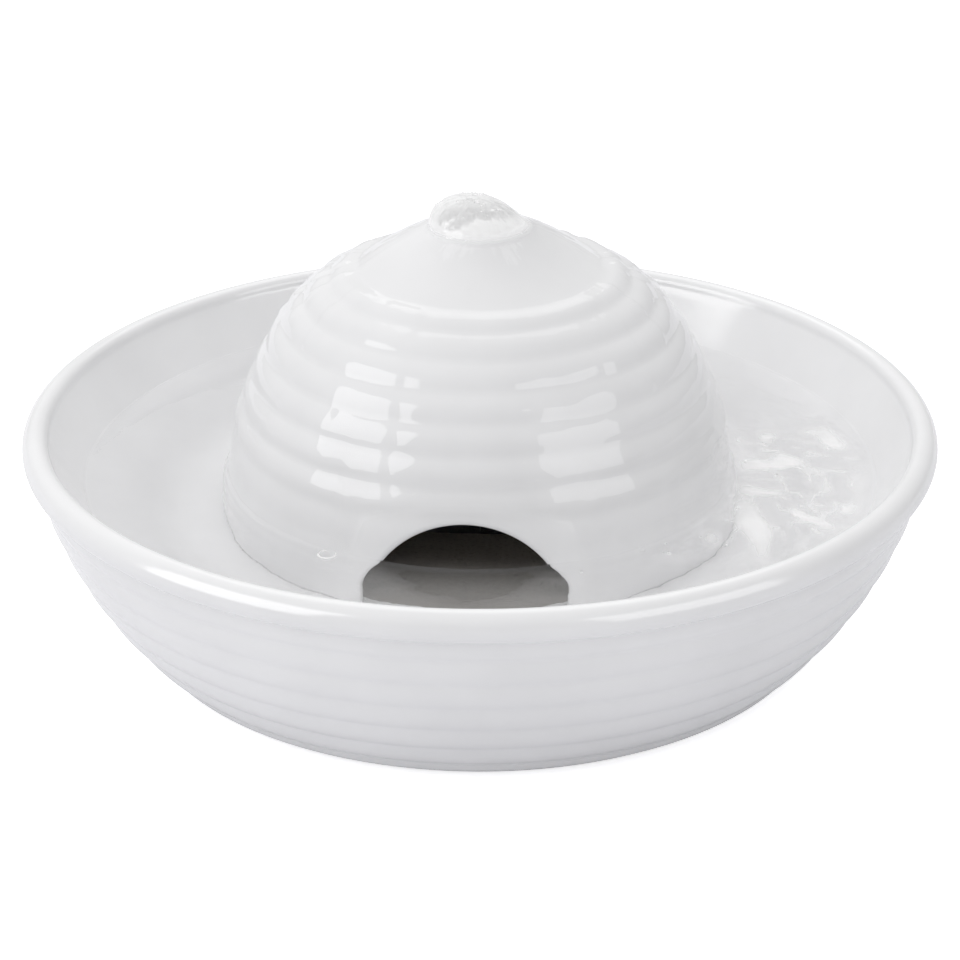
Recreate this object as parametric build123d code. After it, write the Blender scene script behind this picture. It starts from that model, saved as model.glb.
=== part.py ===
from build123d import *
import os
from math import asin, hypot, pi, sin, sqrt

# Pet water fountain.  A white stoneware bowl holds the water.  A stoneware dome stands in it over a
# small submersible pump, which lifts the water through a clear tube to the neck on top, and the
# water runs back down over the dome.  Millimetres, +Z up.  The origin is the middle of the foot
# ring's underside.  The dome's arch faces -Y and the pump's shaft lies along Y, strainer to -Y.

# ---- clearances
SEAT_GAP = 0.15          # all round a moulded piece in its pocket
SLIP_GAP = 0.30          # round a piece that is lifted or pulled off by hand
HOSE_GAP = 0.05          # radial, hose on its spigot and soft parts in their holes
BEARING_GAP = 0.04       # radial, turning core on the fixed shaft
END_GAP = 0.10           # along the shaft, between turning and fixed faces

# ---- bowl
BOWL_RIM_RADIUS = 140.0
BOWL_HEIGHT = 69.6
BOWL_FOOT_RADIUS = 101.0
BOWL_FOOT_WIDTH = 11.0
BOWL_FOOT_ROUND = 1.4
BOWL_BELLY = 5.2         # how far the wall's outer curve bows out from foot to collar
BOWL_FLOOR_HEIGHT = 22.0
BOWL_FLOOR_THICKNESS = 8.0
BOWL_FLOOR_RADIUS = 97.0 # where the inner wall and the floor would meet without the cove
BOWL_COVE = 16.0         # radius between floor and wall, inside
BOWL_HOLLOW = 0.8        # how far the wall's inner curve bows out from floor to lip
BOWL_RECESS_CHAMFER = 4.0
BOWL_COLLAR_RADIUS = 136.0
BOWL_COLLAR_HEIGHT = 59.7
BOWL_LIP_BEAD = 4.7
BOWL_LIP_ROLL = 3.2      # radius of the rounding from the lip's top into the bowl
BOWL_LIP_FILLET = 4.0    # radius between that rounding and the inner wall
BOWL_RIB_START = 5.3     # height of the lowest throwing groove
BOWL_RIB_PITCH = 9.45    # height from groove to groove
BOWL_RIB_COUNT = 5
BOWL_RIB_BULGE = 0.8

# ---- dome
DOME_RADIUS = 79.5
DOME_CROWN = 99.4        # crown above the dome's base, without its neck
DOME_FULLNESS = 2.1      # powers of the superellipse that its side follows
DOME_SQUARENESS = 3.213
DOME_WALL = 6.0
DOME_INNER_ARCS = 3      # arcs of the plain inner face above the arch
DOME_PLAIN_BAND = 46.4   # along the outer curve, from the base to the lowest groove
DOME_RIB_PITCH = 9.5     # along the outer curve
DOME_RIB_COUNT = 7
DOME_RIB_BULGE = 0.7
NECK_RADIUS = 16.2
NECK_HEIGHT = 107.6      # edge of the neck's lip above the dome's base
NECK_LIP = 1.9           # how far the lip is rounded up above that edge
NECK_FLARE = 1.4         # hollow of the flare between dome and neck
NECK_BORE_RADIUS = 9.8
ARCH_WIDTH = 60.0
ARCH_HEIGHT = 43.4
ARCH_SPRING = 11.2       # straight part of the arch's sides
ARCH_ROUND = 2.4
ROUND_LIMIT = 0.45       # most that a rounding may take from each side of a wall
CABLE_NOTCH_WIDTH = 12.0
CABLE_NOTCH_HEIGHT = 10.0

# ---- outlet tube and its seal
TUBE_RADIUS = 6.5
TUBE_WALL = 1.5
TUBE_END_DEPTH = 2.6     # top of the tube below the neck's lip edge
SEAL_FLANGE_RADIUS = 13.5
SEAL_FLANGE = 2.2
SEAL_TOP_DEPTH = 1.2     # top of the seal below the top of the tube
SPOT_FACE_DEPTH = 0.5    # flat cut in the dome's ceiling for the seal's flange

# ---- pump: outline, and places along the shaft measured in Y from the outlet's axis
PUMP_WIDTH = 40.0
PUMP_HEIGHT = 32.0
PUMP_CORNER = 4.0
CUP_HEIGHT = 4.0
HOUSING_FRONT = 7.0
HOUSING_BACK = 47.0
WELL_RADIUS = 8.0
WELL_WALL = 1.15
WELL_END = 23.5
HOUSING_RIB_COUNT = 4
HOUSING_RIB_WIDTH = 1.6
HOUSING_RIB_DEPTH = 0.8
HOUSING_RIB_PITCH = 6.0

# ---- motor
STACK_HEIGHT = 12.0
LEG_INNER = 8.6
LEG_WIDTH = 5.9
LEG_FRONT = 9.0
YOKE_FRONT = 33.5
YOKE_DEPTH = 6.0
BOBBIN_WALL = 1.0
BOBBIN_FLANGE = 1.1
WINDING_THICKNESS = 2.7
COIL_POCKET_WIDTH = 30.0
COIL_POCKET_HEIGHT = 24.0
COIL_POCKET_FRONT = 28.8
RESIN_DEPTH = 3.2

# ---- impeller chamber and outlet
CHAMBER_RADIUS = 11.8
CHAMBER_WALL = 1.7
CHAMBER_FRONT = -8.0
CHAMBER_FRONT_WALL = 2.0
FLANGE_DEPTH = 2.5
STEP_DEPTH = 2.0         # raised step on the flange that centres the strainer
INLET_RADIUS = 6.0
SPIDER_ARM_COUNT = 3
SPIDER_ARM = 1.6
BOSS_RADIUS = 3.2
SPIGOT_BORE = 3.4
COLLAR_HEIGHT = 3.0
SPIGOT_LENGTH = 13.0
SEAL_RING_RADIUS = 13.2  # middle of its square section
SEAL_RING_SECTION = 1.6

# ---- shaft, bearings and impeller
SHAFT_RADIUS = 1.0
BUSH_RADIUS = 2.1
BUSH_LENGTH = 2.0
BUSH_NOSE = 0.9          # wall in front of the front bush
WASHER_RADIUS = 2.6
WASHER_THICKNESS = 0.7
IMPELLER_RADIUS = 10.6
IMPELLER_DISC = 1.4
BLADE_COUNT = 6
BLADE_THICKNESS = 1.2
BLADE_LENGTH = 6.5       # along the shaft
HUB_RADIUS = 2.9
HUB_LENGTH = 2.4         # from the disc to the magnet
CORE_RADIUS = 2.3
MAGNET_RADIUS = 7.4

# ---- strainer, sponge and flow slider
STRAINER_FRONT = -27.0
STRAINER_WALL = 1.6
WINDOW_COUNT = 4
WINDOW_WIDTH = 4.0
WINDOW_HEIGHT = 16.6
WINDOW_RAISE = 0.8       # windows' middle above the shaft
SIDE_SLOT_COUNT = 3
SIDE_SLOT_WIDTH = 2.4
SIDE_SLOT_HEIGHT = 15.0
SIDE_SLOT_PITCH = 5.2
SLIDER_THICKNESS = 1.2
SLIDER_TRAVEL = WINDOW_WIDTH
SLIDER_MARGIN = 0.7      # plate above its windows
RAIL_HEIGHT = 1.5
KNOB_WIDTH = 3.6
KNOB_HEIGHT = 3.2
KNOB_REACH = 2.4         # knob proud of the strainer's front
KNOB_DROP = 10.6         # knob's middle below the shaft

# ---- suction cups and cable gland
CUP_RADIUS = 6.5
CUP_STEM_RADIUS = 1.9
CUP_STEM_LENGTH = 2.8
CUP_SHOULDER_RADIUS = 3.2
CUP_SKIRT = 0.8
CUP_SPAN_X = 26.0
CUP_FRONT_Y = 13.0
CUP_BACK_Y = 40.0
GLAND_RADIUS = 3.0
GLAND_BORE = 2.0
GLAND_FLANGE_RADIUS = 4.4
GLAND_FLANGE = 1.5
GLAND_COLLAR = 5.0
GLAND_DROP = 8.3         # gland's axis below the shaft

# ---- places that several pieces share
PUMP_AXIS_HEIGHT = BOWL_FLOOR_HEIGHT + CUP_HEIGHT + PUMP_HEIGHT / 2
PUMP_UNDERSIDE = PUMP_AXIS_HEIGHT - PUMP_HEIGHT / 2
WELL_OUTER = WELL_RADIUS + WELL_WALL
CHAMBER_OUTER = CHAMBER_RADIUS + CHAMBER_WALL
CHAMBER_INSIDE_FRONT = CHAMBER_FRONT + CHAMBER_FRONT_WALL
FLANGE_FRONT = HOUSING_FRONT - FLANGE_DEPTH
SPIGOT_RADIUS = TUBE_RADIUS - TUBE_WALL - HOSE_GAP
TUBE_FOOT = PUMP_AXIS_HEIGHT + CHAMBER_OUTER + COLLAR_HEIGHT
TUBE_TOP = BOWL_FLOOR_HEIGHT + NECK_HEIGHT - TUBE_END_DEPTH
FRONT_BUSH_FRONT = CHAMBER_FRONT + BUSH_NOSE
FRONT_BUSH_BACK = FRONT_BUSH_FRONT + BUSH_LENGTH
IMPELLER_FRONT = FRONT_BUSH_BACK + WASHER_THICKNESS + END_GAP
DISC_FRONT = IMPELLER_FRONT + BLADE_LENGTH
MAGNET_FRONT = DISC_FRONT + IMPELLER_DISC + HUB_LENGTH
CORE_BACK = WELL_END - WASHER_THICKNESS - END_GAP
MAGNET_BACK = CORE_BACK - END_GAP
STRAINER_INSIDE_WIDTH = PUMP_WIDTH - 2 * STRAINER_WALL
STRAINER_INSIDE_HEIGHT = PUMP_HEIGHT - 2 * STRAINER_WALL
STRAINER_INSIDE_CORNER = PUMP_CORNER - STRAINER_WALL
STRAINER_INSIDE_FRONT = STRAINER_FRONT + STRAINER_WALL
STRAINER_BACK = FLANGE_FRONT - END_GAP
SLIDER_FRONT = STRAINER_INSIDE_FRONT + END_GAP
SLIDER_BACK = SLIDER_FRONT + SLIDER_THICKNESS
WINDOW_PITCH = 2 * WINDOW_WIDTH
OVERCUT = 1.0            # how far a cutting tool runs past the face it opens


# ---- helpers

def arc_between(start, end, bulge):
    """Arc from start to end that bows out by bulge, to the right of the way it runs."""
    run = Vector(*end) - Vector(*start)
    middle = (Vector(*start) + Vector(*end)) / 2 + Vector(run.Y, -run.X).normalized() * bulge
    return ThreePointArc(start, middle, end)


def arc_circle(start, end, bulge):
    """Centre and radius of the circle that arc_between follows."""
    run = Vector(*end) - Vector(*start)
    radius = run.length ** 2 / (8 * bulge) + bulge / 2
    side = Vector(run.Y, -run.X).normalized()
    centre = (Vector(*start) + Vector(*end)) / 2 - side * (radius - bulge)
    return centre, radius


def corner_near(face, place):
    """Corner of a drawn face that lies nearest to a place."""
    return face.vertices().sort_by_distance(Vertex(*place, 0))[0]


def turned(face, base_height):
    """Solid turned about Z from a face drawn in radius and height above base_height."""
    return Pos(0, 0, base_height) * revolve(Plane.XZ * face, Axis.Z)


def along_shaft(sketch, start, end):
    """Bar from Y = start to Y = end whose section is drawn about the shaft, X right and Z up."""
    placed = Plane.XZ.offset(-start) * Pos(0, PUMP_AXIS_HEIGHT) * sketch
    return extrude(placed, end - start, dir=(0, 1, 0))


def ring_on_shaft(outer, inner, start, end):
    """Plain ring about the shaft."""
    return along_shaft(Circle(outer) - Circle(inner), start, end)


# ---- stoneware

def bowl_grooves():
    """Points (radius, height) of the throwing grooves up the bowl's outer curve."""
    centre, radius = arc_circle((BOWL_FOOT_RADIUS, 0), (BOWL_COLLAR_RADIUS, BOWL_COLLAR_HEIGHT), BOWL_BELLY)
    heights = [BOWL_RIB_START + BOWL_RIB_PITCH * step for step in range(BOWL_RIB_COUNT + 1)]
    return [(centre.X + sqrt(radius ** 2 - (height - centre.Y) ** 2), height) for height in heights]


def make_bowl():
    """Basin with a ribbed outside, a beaded lip, a flat floor and a hollow foot."""
    foot = (BOWL_FOOT_RADIUS - BOWL_FOOT_ROUND, 0)
    foot_inside = BOWL_FOOT_RADIUS - BOWL_FOOT_WIDTH
    collar = (BOWL_COLLAR_RADIUS, BOWL_COLLAR_HEIGHT)
    stations = [foot, *bowl_grooves(), collar]
    outside = [arc_between(a, b, BOWL_RIB_BULGE) for a, b in zip(stations, stations[1:])]

    bead_middle = BOWL_RIM_RADIUS - BOWL_LIP_BEAD
    lip_top = (bead_middle, BOWL_HEIGHT)
    bead = ThreePointArc(collar, (BOWL_RIM_RADIUS, BOWL_HEIGHT - BOWL_LIP_BEAD), lip_top)

    wall_top = (bead_middle - BOWL_LIP_ROLL, BOWL_HEIGHT - BOWL_LIP_ROLL)
    floor_edge = (BOWL_FLOOR_RADIUS, BOWL_FLOOR_HEIGHT)
    recess = BOWL_FLOOR_HEIGHT - BOWL_FLOOR_THICKNESS
    outline = [
        *outside,
        bead,
        TangentArc(lip_top, wall_top, tangent=(-1, 0)),
        arc_between(wall_top, floor_edge, -BOWL_HOLLOW),
        Polyline(floor_edge, (0, BOWL_FLOOR_HEIGHT), (0, recess)),
        Polyline((0, recess), (foot_inside, recess), (foot_inside, 0), foot),
    ]
    face = make_face(outline)
    face = fillet(corner_near(face, wall_top), BOWL_LIP_FILLET)
    face = fillet(corner_near(face, floor_edge), BOWL_COVE)
    return turned(chamfer(corner_near(face, (foot_inside, recess)), BOWL_RECESS_CHAMFER), 0)


def dome_curve(angle, radius, crown):
    """Point of the dome's side, from the base at angle 0 to the crown at a quarter turn."""
    rise = sin(angle)
    return radius * max(0.0, 1 - rise ** DOME_FULLNESS) ** (1 / DOME_SQUARENESS), crown * rise


def dome_station(length):
    """Point of the dome's outer curve at a length along it from the base."""
    steps = 4000
    travelled = 0.0
    here = dome_curve(0, DOME_RADIUS, DOME_CROWN)
    for step in range(1, steps + 1):
        there = dome_curve(step / steps * pi / 2, DOME_RADIUS, DOME_CROWN)
        travelled += hypot(there[0] - here[0], there[1] - here[1])
        here = there
        if travelled >= length:
            break
    return here


def make_dome():
    """Domed cover with throwing rings, a necked outlet, a drinking arch and a cable notch."""
    grooves = [dome_station(DOME_PLAIN_BAND + DOME_RIB_PITCH * step) for step in range(DOME_RIB_COUNT + 1)]
    plain_middle = dome_station(DOME_PLAIN_BAND / 2)
    band = ThreePointArc((DOME_RADIUS, 0), plain_middle, grooves[0])
    rings = [arc_between(a, b, DOME_RIB_BULGE) for a, b in zip(grooves, grooves[1:])]
    neck_edge = (NECK_RADIUS, NECK_HEIGHT)
    bore_edge = (NECK_BORE_RADIUS, NECK_HEIGHT)
    flare = arc_between(grooves[-1], neck_edge, -NECK_FLARE)
    lip = arc_between(neck_edge, bore_edge, NECK_LIP)

    inner_radius = DOME_RADIUS - DOME_WALL
    inner_crown = DOME_CROWN - DOME_WALL
    ceiling = (NECK_BORE_RADIUS, inner_crown)
    over_arch = asin((ARCH_HEIGHT + 3 * ARCH_ROUND) / inner_crown)
    step = (pi / 2 - over_arch) / DOME_INNER_ARCS
    turns = [0, *[over_arch + step * count for count in range(DOME_INNER_ARCS)], pi / 2]
    ends = [dome_curve(turn, inner_radius, inner_crown) for turn in turns[:-1]] + [ceiling]
    middles = [dome_curve((a + b) / 2, inner_radius, inner_crown) for a, b in zip(turns, turns[1:])]
    inside = [ThreePointArc(*points) for points in zip(ends, middles, ends[1:])]
    outline = [
        band,
        *rings,
        flare,
        lip,
        Line(bore_edge, ceiling),
        *inside,
        Line((inner_radius, 0), (DOME_RADIUS, 0)),
    ]
    dome = turned(make_face(outline), BOWL_FLOOR_HEIGHT)
    spot_face = extrude(Circle(SEAL_FLANGE_RADIUS + SLIP_GAP), inner_crown + SPOT_FACE_DEPTH)
    dome -= Pos(0, 0, BOWL_FLOOR_HEIGHT) * spot_face
    return cut_arch(cut_notch(dome))


def cut_arch(dome):
    """Cut the drinking arch through the front of the dome and round its edges."""
    base = BOWL_FLOOR_HEIGHT
    opening = Pos(0, base + ARCH_SPRING) * Ellipse(ARCH_WIDTH / 2, ARCH_HEIGHT - ARCH_SPRING)
    opening += Pos(0, base) * Rectangle(ARCH_WIDTH, 2 * ARCH_SPRING)
    dome -= extrude(Plane.XZ * opening, DOME_RADIUS + OVERCUT)
    edges = [edge for edge in dome.edges() if is_arch_edge(edge)]
    return fillet(edges, min(ARCH_ROUND, ROUND_LIMIT * DOME_WALL))


def is_arch_edge(edge):
    """True for an edge that runs up the arch, on the outer or the inner face of the dome's wall."""
    box = edge.bounding_box()
    in_front = box.max.Y < -DOME_RADIUS / 2
    in_arch = max(-box.min.X, box.max.X) < ARCH_WIDTH / 2 + SEAT_GAP
    return in_front and in_arch and box.size.Z > ARCH_ROUND


def cut_notch(dome):
    """Cut the small round-topped notch that lets the cable out at the back."""
    round_height = CABLE_NOTCH_HEIGHT - CABLE_NOTCH_WIDTH / 2
    opening = Pos(0, BOWL_FLOOR_HEIGHT + round_height) * Circle(CABLE_NOTCH_WIDTH / 2)
    opening += Pos(0, BOWL_FLOOR_HEIGHT) * Rectangle(CABLE_NOTCH_WIDTH, 2 * round_height)
    return dome - extrude(Plane.XZ * opening, -(DOME_RADIUS + OVERCUT))


# ---- outlet

def make_outlet_tube():
    """Clear hose from the pump's spigot up into the neck."""
    wall = Circle(TUBE_RADIUS) - Circle(TUBE_RADIUS - TUBE_WALL)
    return Pos(0, 0, TUBE_FOOT) * extrude(wall, TUBE_TOP - TUBE_FOOT)


def make_outlet_seal():
    """Soft sleeve in the neck with a flange under the dome's ceiling; the tube slides in it."""
    seat = BOWL_FLOOR_HEIGHT + DOME_CROWN - DOME_WALL + SPOT_FACE_DEPTH
    top = TUBE_TOP - SEAL_TOP_DEPTH
    bore = Circle(TUBE_RADIUS + SLIP_GAP)
    sleeve = Pos(0, 0, seat) * extrude(Circle(NECK_BORE_RADIUS - HOSE_GAP) - bore, top - seat)
    flange = Pos(0, 0, seat) * extrude(Circle(SEAL_FLANGE_RADIUS) - bore, -SEAL_FLANGE)
    return sleeve + flange


# ---- pump motor

def pump_outline(inset=0.0):
    """Rounded rectangle of the pump's section, drawn in from all sides by inset."""
    return RectangleRounded(PUMP_WIDTH - 2 * inset, PUMP_HEIGHT - 2 * inset, PUMP_CORNER - inset)


def leg_middles():
    """X of the middles of the stator's two legs."""
    offset = LEG_INNER + LEG_WIDTH / 2
    return [-offset, offset]


def make_pump_housing():
    """Moulded motor block: rotor well, slots for the stator's legs and a pocket for the coil."""
    body = along_shaft(pump_outline(), HOUSING_FRONT, HOUSING_BACK)
    slot = Rectangle(LEG_WIDTH + 2 * SEAT_GAP, STACK_HEIGHT + 2 * SEAT_GAP)
    slots = [Pos(x, 0) * slot for x in leg_middles()]
    body -= along_shaft(Sketch() + slots, LEG_FRONT - SEAT_GAP, COIL_POCKET_FRONT)
    body -= along_shaft(Rectangle(COIL_POCKET_WIDTH, COIL_POCKET_HEIGHT), COIL_POCKET_FRONT, HOUSING_BACK)
    body += along_shaft(Circle(WELL_OUTER - SEAT_GAP), HOUSING_FRONT, COIL_POCKET_FRONT)
    body -= along_shaft(Circle(WELL_RADIUS), HOUSING_FRONT, WELL_END)
    body -= along_shaft(Circle(BUSH_RADIUS + HOSE_GAP), WELL_END, WELL_END + BUSH_LENGTH)
    half_groove = SEAL_RING_SECTION / 2 + HOSE_GAP
    body -= ring_on_shaft(SEAL_RING_RADIUS + half_groove, SEAL_RING_RADIUS - half_groove,
                          HOUSING_FRONT, HOUSING_FRONT + SEAL_RING_SECTION)
    stem_hole = extrude(Circle(CUP_STEM_RADIUS + HOSE_GAP), CUP_STEM_LENGTH + SEAT_GAP)
    for x, y in cup_places():
        body -= Pos(x, y, PUMP_UNDERSIDE) * stem_hole
    return body - housing_grip()


def housing_grip():
    """Shallow upright grooves down both sides of the housing, to hold it by."""
    cutters = []
    groove = Box(2 * HOUSING_RIB_DEPTH, HOUSING_RIB_WIDTH, PUMP_HEIGHT - 3 * PUMP_CORNER)
    first = (HOUSING_FRONT + HOUSING_BACK - (HOUSING_RIB_COUNT - 1) * HOUSING_RIB_PITCH) / 2
    for step in range(HOUSING_RIB_COUNT):
        for side in (-1, 1):
            place = Pos(side * PUMP_WIDTH / 2, first + step * HOUSING_RIB_PITCH, PUMP_AXIS_HEIGHT)
            cutters.append(place * groove)
    return cutters


def make_stator_core():
    """U of steel laminations: two legs beside the rotor well and a yoke through the coil."""
    legs = [Pos(x, 0) * Rectangle(LEG_WIDTH, STACK_HEIGHT) for x in leg_middles()]
    core = along_shaft(Sketch() + legs, LEG_FRONT, YOKE_FRONT + YOKE_DEPTH)
    span = 2 * (LEG_INNER + LEG_WIDTH)
    core += along_shaft(Rectangle(span, STACK_HEIGHT), YOKE_FRONT, YOKE_FRONT + YOKE_DEPTH)
    return core - along_shaft(Circle(WELL_OUTER), LEG_FRONT, COIL_POCKET_FRONT)


def across_coil(depth, height, width):
    """Block about the middle of the yoke: depth along Y, height along Z, width along X."""
    middle = (0, YOKE_FRONT + YOKE_DEPTH / 2, PUMP_AXIS_HEIGHT)
    return Pos(*middle) * Box(width, depth, height)


def make_coil_bobbin():
    """Nylon bobbin that slides over the yoke, with a flange at each end."""
    tunnel_depth = YOKE_DEPTH + 2 * SEAT_GAP
    tunnel_height = STACK_HEIGHT + 2 * SEAT_GAP
    barrel_depth = tunnel_depth + 2 * BOBBIN_WALL
    barrel_height = tunnel_height + 2 * BOBBIN_WALL
    length = 2 * (LEG_INNER - SEAT_GAP)
    bobbin = across_coil(barrel_depth, barrel_height, length)
    rise = 2 * (WINDING_THICKNESS + SEAT_GAP)
    flanges = across_coil(barrel_depth + rise, barrel_height + rise, length)
    flanges -= across_coil(barrel_depth + rise, barrel_height + rise, length - 2 * BOBBIN_FLANGE)
    return bobbin + flanges - across_coil(tunnel_depth, tunnel_height, length)


def make_coil_winding():
    """Copper winding that fills the bobbin between its flanges."""
    barrel_depth = YOKE_DEPTH + 2 * SEAT_GAP + 2 * BOBBIN_WALL
    barrel_height = STACK_HEIGHT + 2 * SEAT_GAP + 2 * BOBBIN_WALL
    length = 2 * (LEG_INNER - SEAT_GAP - BOBBIN_FLANGE)
    winding = across_coil(barrel_depth + 2 * WINDING_THICKNESS, barrel_height + 2 * WINDING_THICKNESS, length)
    winding = fillet(winding.edges().filter_by(Axis.X), WINDING_THICKNESS / 2)
    return winding - across_coil(barrel_depth, barrel_height, length)


def make_potting_resin():
    """Cast resin that closes the coil's pocket round the cable gland."""
    section = Rectangle(COIL_POCKET_WIDTH, COIL_POCKET_HEIGHT)
    section -= Pos(0, -GLAND_DROP) * Circle(GLAND_RADIUS + HOSE_GAP)
    return along_shaft(section, HOUSING_BACK - RESIN_DEPTH, HOUSING_BACK)


def make_cable_gland():
    """Rubber gland of the power lead: a sleeve in the resin, a flange and a short collar."""
    section = Pos(0, -GLAND_DROP) * Circle(GLAND_RADIUS)
    gland = along_shaft(section, HOUSING_BACK - RESIN_DEPTH, HOUSING_BACK + GLAND_FLANGE + GLAND_COLLAR)
    flange = Pos(0, -GLAND_DROP) * Circle(GLAND_FLANGE_RADIUS)
    gland += along_shaft(flange, HOUSING_BACK, HOUSING_BACK + GLAND_FLANGE)
    bore = Pos(0, -GLAND_DROP) * Circle(GLAND_BORE)
    return gland - along_shaft(bore, HOUSING_BACK - RESIN_DEPTH, HOUSING_BACK + GLAND_FLANGE + GLAND_COLLAR)


def cup_places():
    """X and Y of the four suction cups."""
    return [(side * CUP_SPAN_X / 2, y) for side in (-1, 1) for y in (CUP_FRONT_Y, CUP_BACK_Y)]


def make_suction_cups():
    """Four rubber cups, each a thin cone on a stem that plugs into the housing's underside."""
    skirt = make_face(Polyline(
        (0, CUP_HEIGHT + CUP_STEM_LENGTH),
        (CUP_STEM_RADIUS, CUP_HEIGHT + CUP_STEM_LENGTH),
        (CUP_STEM_RADIUS, CUP_HEIGHT),
        (CUP_SHOULDER_RADIUS, CUP_HEIGHT),
        (CUP_SHOULDER_RADIUS, CUP_HEIGHT / 2 + CUP_SKIRT),
        (CUP_RADIUS, CUP_SKIRT / 2),
        (CUP_RADIUS, 0),
        (CUP_RADIUS - CUP_SKIRT, 0),
        (0, CUP_HEIGHT / 2),
        close=True))
    cup = turned(skirt, BOWL_FLOOR_HEIGHT)
    return Compound(children=[Pos(x, y, 0) * cup for x, y in cup_places()])


# ---- pump's wet end

def make_volute_cover():
    """Impeller chamber with its inlet spider, the outlet spigot and the flange that clips on."""
    step = pump_outline(STRAINER_WALL + SEAT_GAP)
    cover = along_shaft(pump_outline(), FLANGE_FRONT, HOUSING_FRONT)
    cover += along_shaft(step, FLANGE_FRONT - STEP_DEPTH, FLANGE_FRONT)
    cover += along_shaft(Circle(CHAMBER_OUTER), CHAMBER_FRONT, HOUSING_FRONT)
    up = Pos(0, 0, PUMP_AXIS_HEIGHT)
    cover += up * extrude(Circle(TUBE_RADIUS), CHAMBER_OUTER + COLLAR_HEIGHT)
    cover += up * extrude(Circle(SPIGOT_RADIUS), CHAMBER_OUTER + COLLAR_HEIGHT + SPIGOT_LENGTH)
    cover -= along_shaft(Circle(CHAMBER_RADIUS), CHAMBER_INSIDE_FRONT, HOUSING_FRONT)
    cover -= up * extrude(Circle(SPIGOT_BORE), CHAMBER_OUTER + COLLAR_HEIGHT + SPIGOT_LENGTH)
    cover -= along_shaft(Circle(INLET_RADIUS), CHAMBER_FRONT, CHAMBER_INSIDE_FRONT)
    arms = [
        Rot(0, 0, 90 + turn * 360 / SPIDER_ARM_COUNT)
        * Pos(INLET_RADIUS / 2 + OVERCUT / 2, 0)
        * Rectangle(INLET_RADIUS + OVERCUT, SPIDER_ARM)
        for turn in range(SPIDER_ARM_COUNT)
    ]
    cover += along_shaft(Sketch() + arms, CHAMBER_FRONT, CHAMBER_INSIDE_FRONT)
    cover += along_shaft(Circle(BOSS_RADIUS), CHAMBER_FRONT, FRONT_BUSH_BACK)
    return cover - along_shaft(Circle(BUSH_RADIUS + HOSE_GAP), FRONT_BUSH_FRONT, FRONT_BUSH_BACK)


def make_chamber_seal():
    """Square-section ring between the chamber's flange and the housing."""
    half = SEAL_RING_SECTION / 2
    return ring_on_shaft(SEAL_RING_RADIUS + half, SEAL_RING_RADIUS - half,
                         HOUSING_FRONT, HOUSING_FRONT + SEAL_RING_SECTION)


def make_bush(front):
    """Rubber bush that holds one end of the shaft."""
    return ring_on_shaft(BUSH_RADIUS, SHAFT_RADIUS, front, front + BUSH_LENGTH)


def make_washer(front):
    """Thrust washer on the shaft."""
    return ring_on_shaft(WASHER_RADIUS, SHAFT_RADIUS + BEARING_GAP, front, front + WASHER_THICKNESS)


def make_shaft():
    """Fixed ceramic shaft, held at both ends."""
    return along_shaft(Circle(SHAFT_RADIUS), FRONT_BUSH_FRONT, WELL_END + BUSH_LENGTH)


def make_impeller():
    """Disc with straight blades, because the rotor may start either way, on a core for the magnet."""
    blade_middle = (SHAFT_RADIUS + BEARING_GAP + IMPELLER_RADIUS) / 2
    blade_length = IMPELLER_RADIUS - SHAFT_RADIUS - BEARING_GAP
    blades = [
        Rot(0, 0, turn * 360 / BLADE_COUNT) * Pos(blade_middle, 0) * Rectangle(blade_length, BLADE_THICKNESS)
        for turn in range(BLADE_COUNT)
    ]
    blades.append(Circle(HUB_RADIUS))
    impeller = along_shaft(Sketch() + blades, IMPELLER_FRONT, DISC_FRONT)
    impeller += along_shaft(Circle(IMPELLER_RADIUS), DISC_FRONT, DISC_FRONT + IMPELLER_DISC)
    impeller += along_shaft(Circle(HUB_RADIUS), DISC_FRONT, MAGNET_FRONT)
    impeller += along_shaft(Circle(CORE_RADIUS), MAGNET_FRONT, CORE_BACK)
    return impeller - along_shaft(Circle(SHAFT_RADIUS + BEARING_GAP), IMPELLER_FRONT, CORE_BACK)


def make_rotor_magnet():
    """Ferrite cylinder on the impeller's core."""
    return ring_on_shaft(MAGNET_RADIUS, CORE_RADIUS + HOSE_GAP, MAGNET_FRONT, MAGNET_BACK)


# ---- strainer

def window_middles(count):
    """X of the middles of the strainer's front windows, from the left."""
    first = -WINDOW_PITCH * (WINDOW_COUNT - 1) / 2
    return [first + WINDOW_PITCH * step for step in range(count)]


def windows(count):
    """Tall windows side by side, drawn about the shaft."""
    window = Rectangle(WINDOW_WIDTH, WINDOW_HEIGHT)
    return Sketch() + [Pos(x, WINDOW_RAISE) * window for x in window_middles(count)]


def slider_top():
    """Top of the slider's plate above the shaft."""
    return WINDOW_RAISE + WINDOW_HEIGHT / 2 + SLIDER_MARGIN


def slider_bottom():
    """Bottom of the slider's plate, above the shaft and so below zero."""
    return -STRAINER_INSIDE_HEIGHT / 2 + RAIL_HEIGHT + SEAT_GAP


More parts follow.
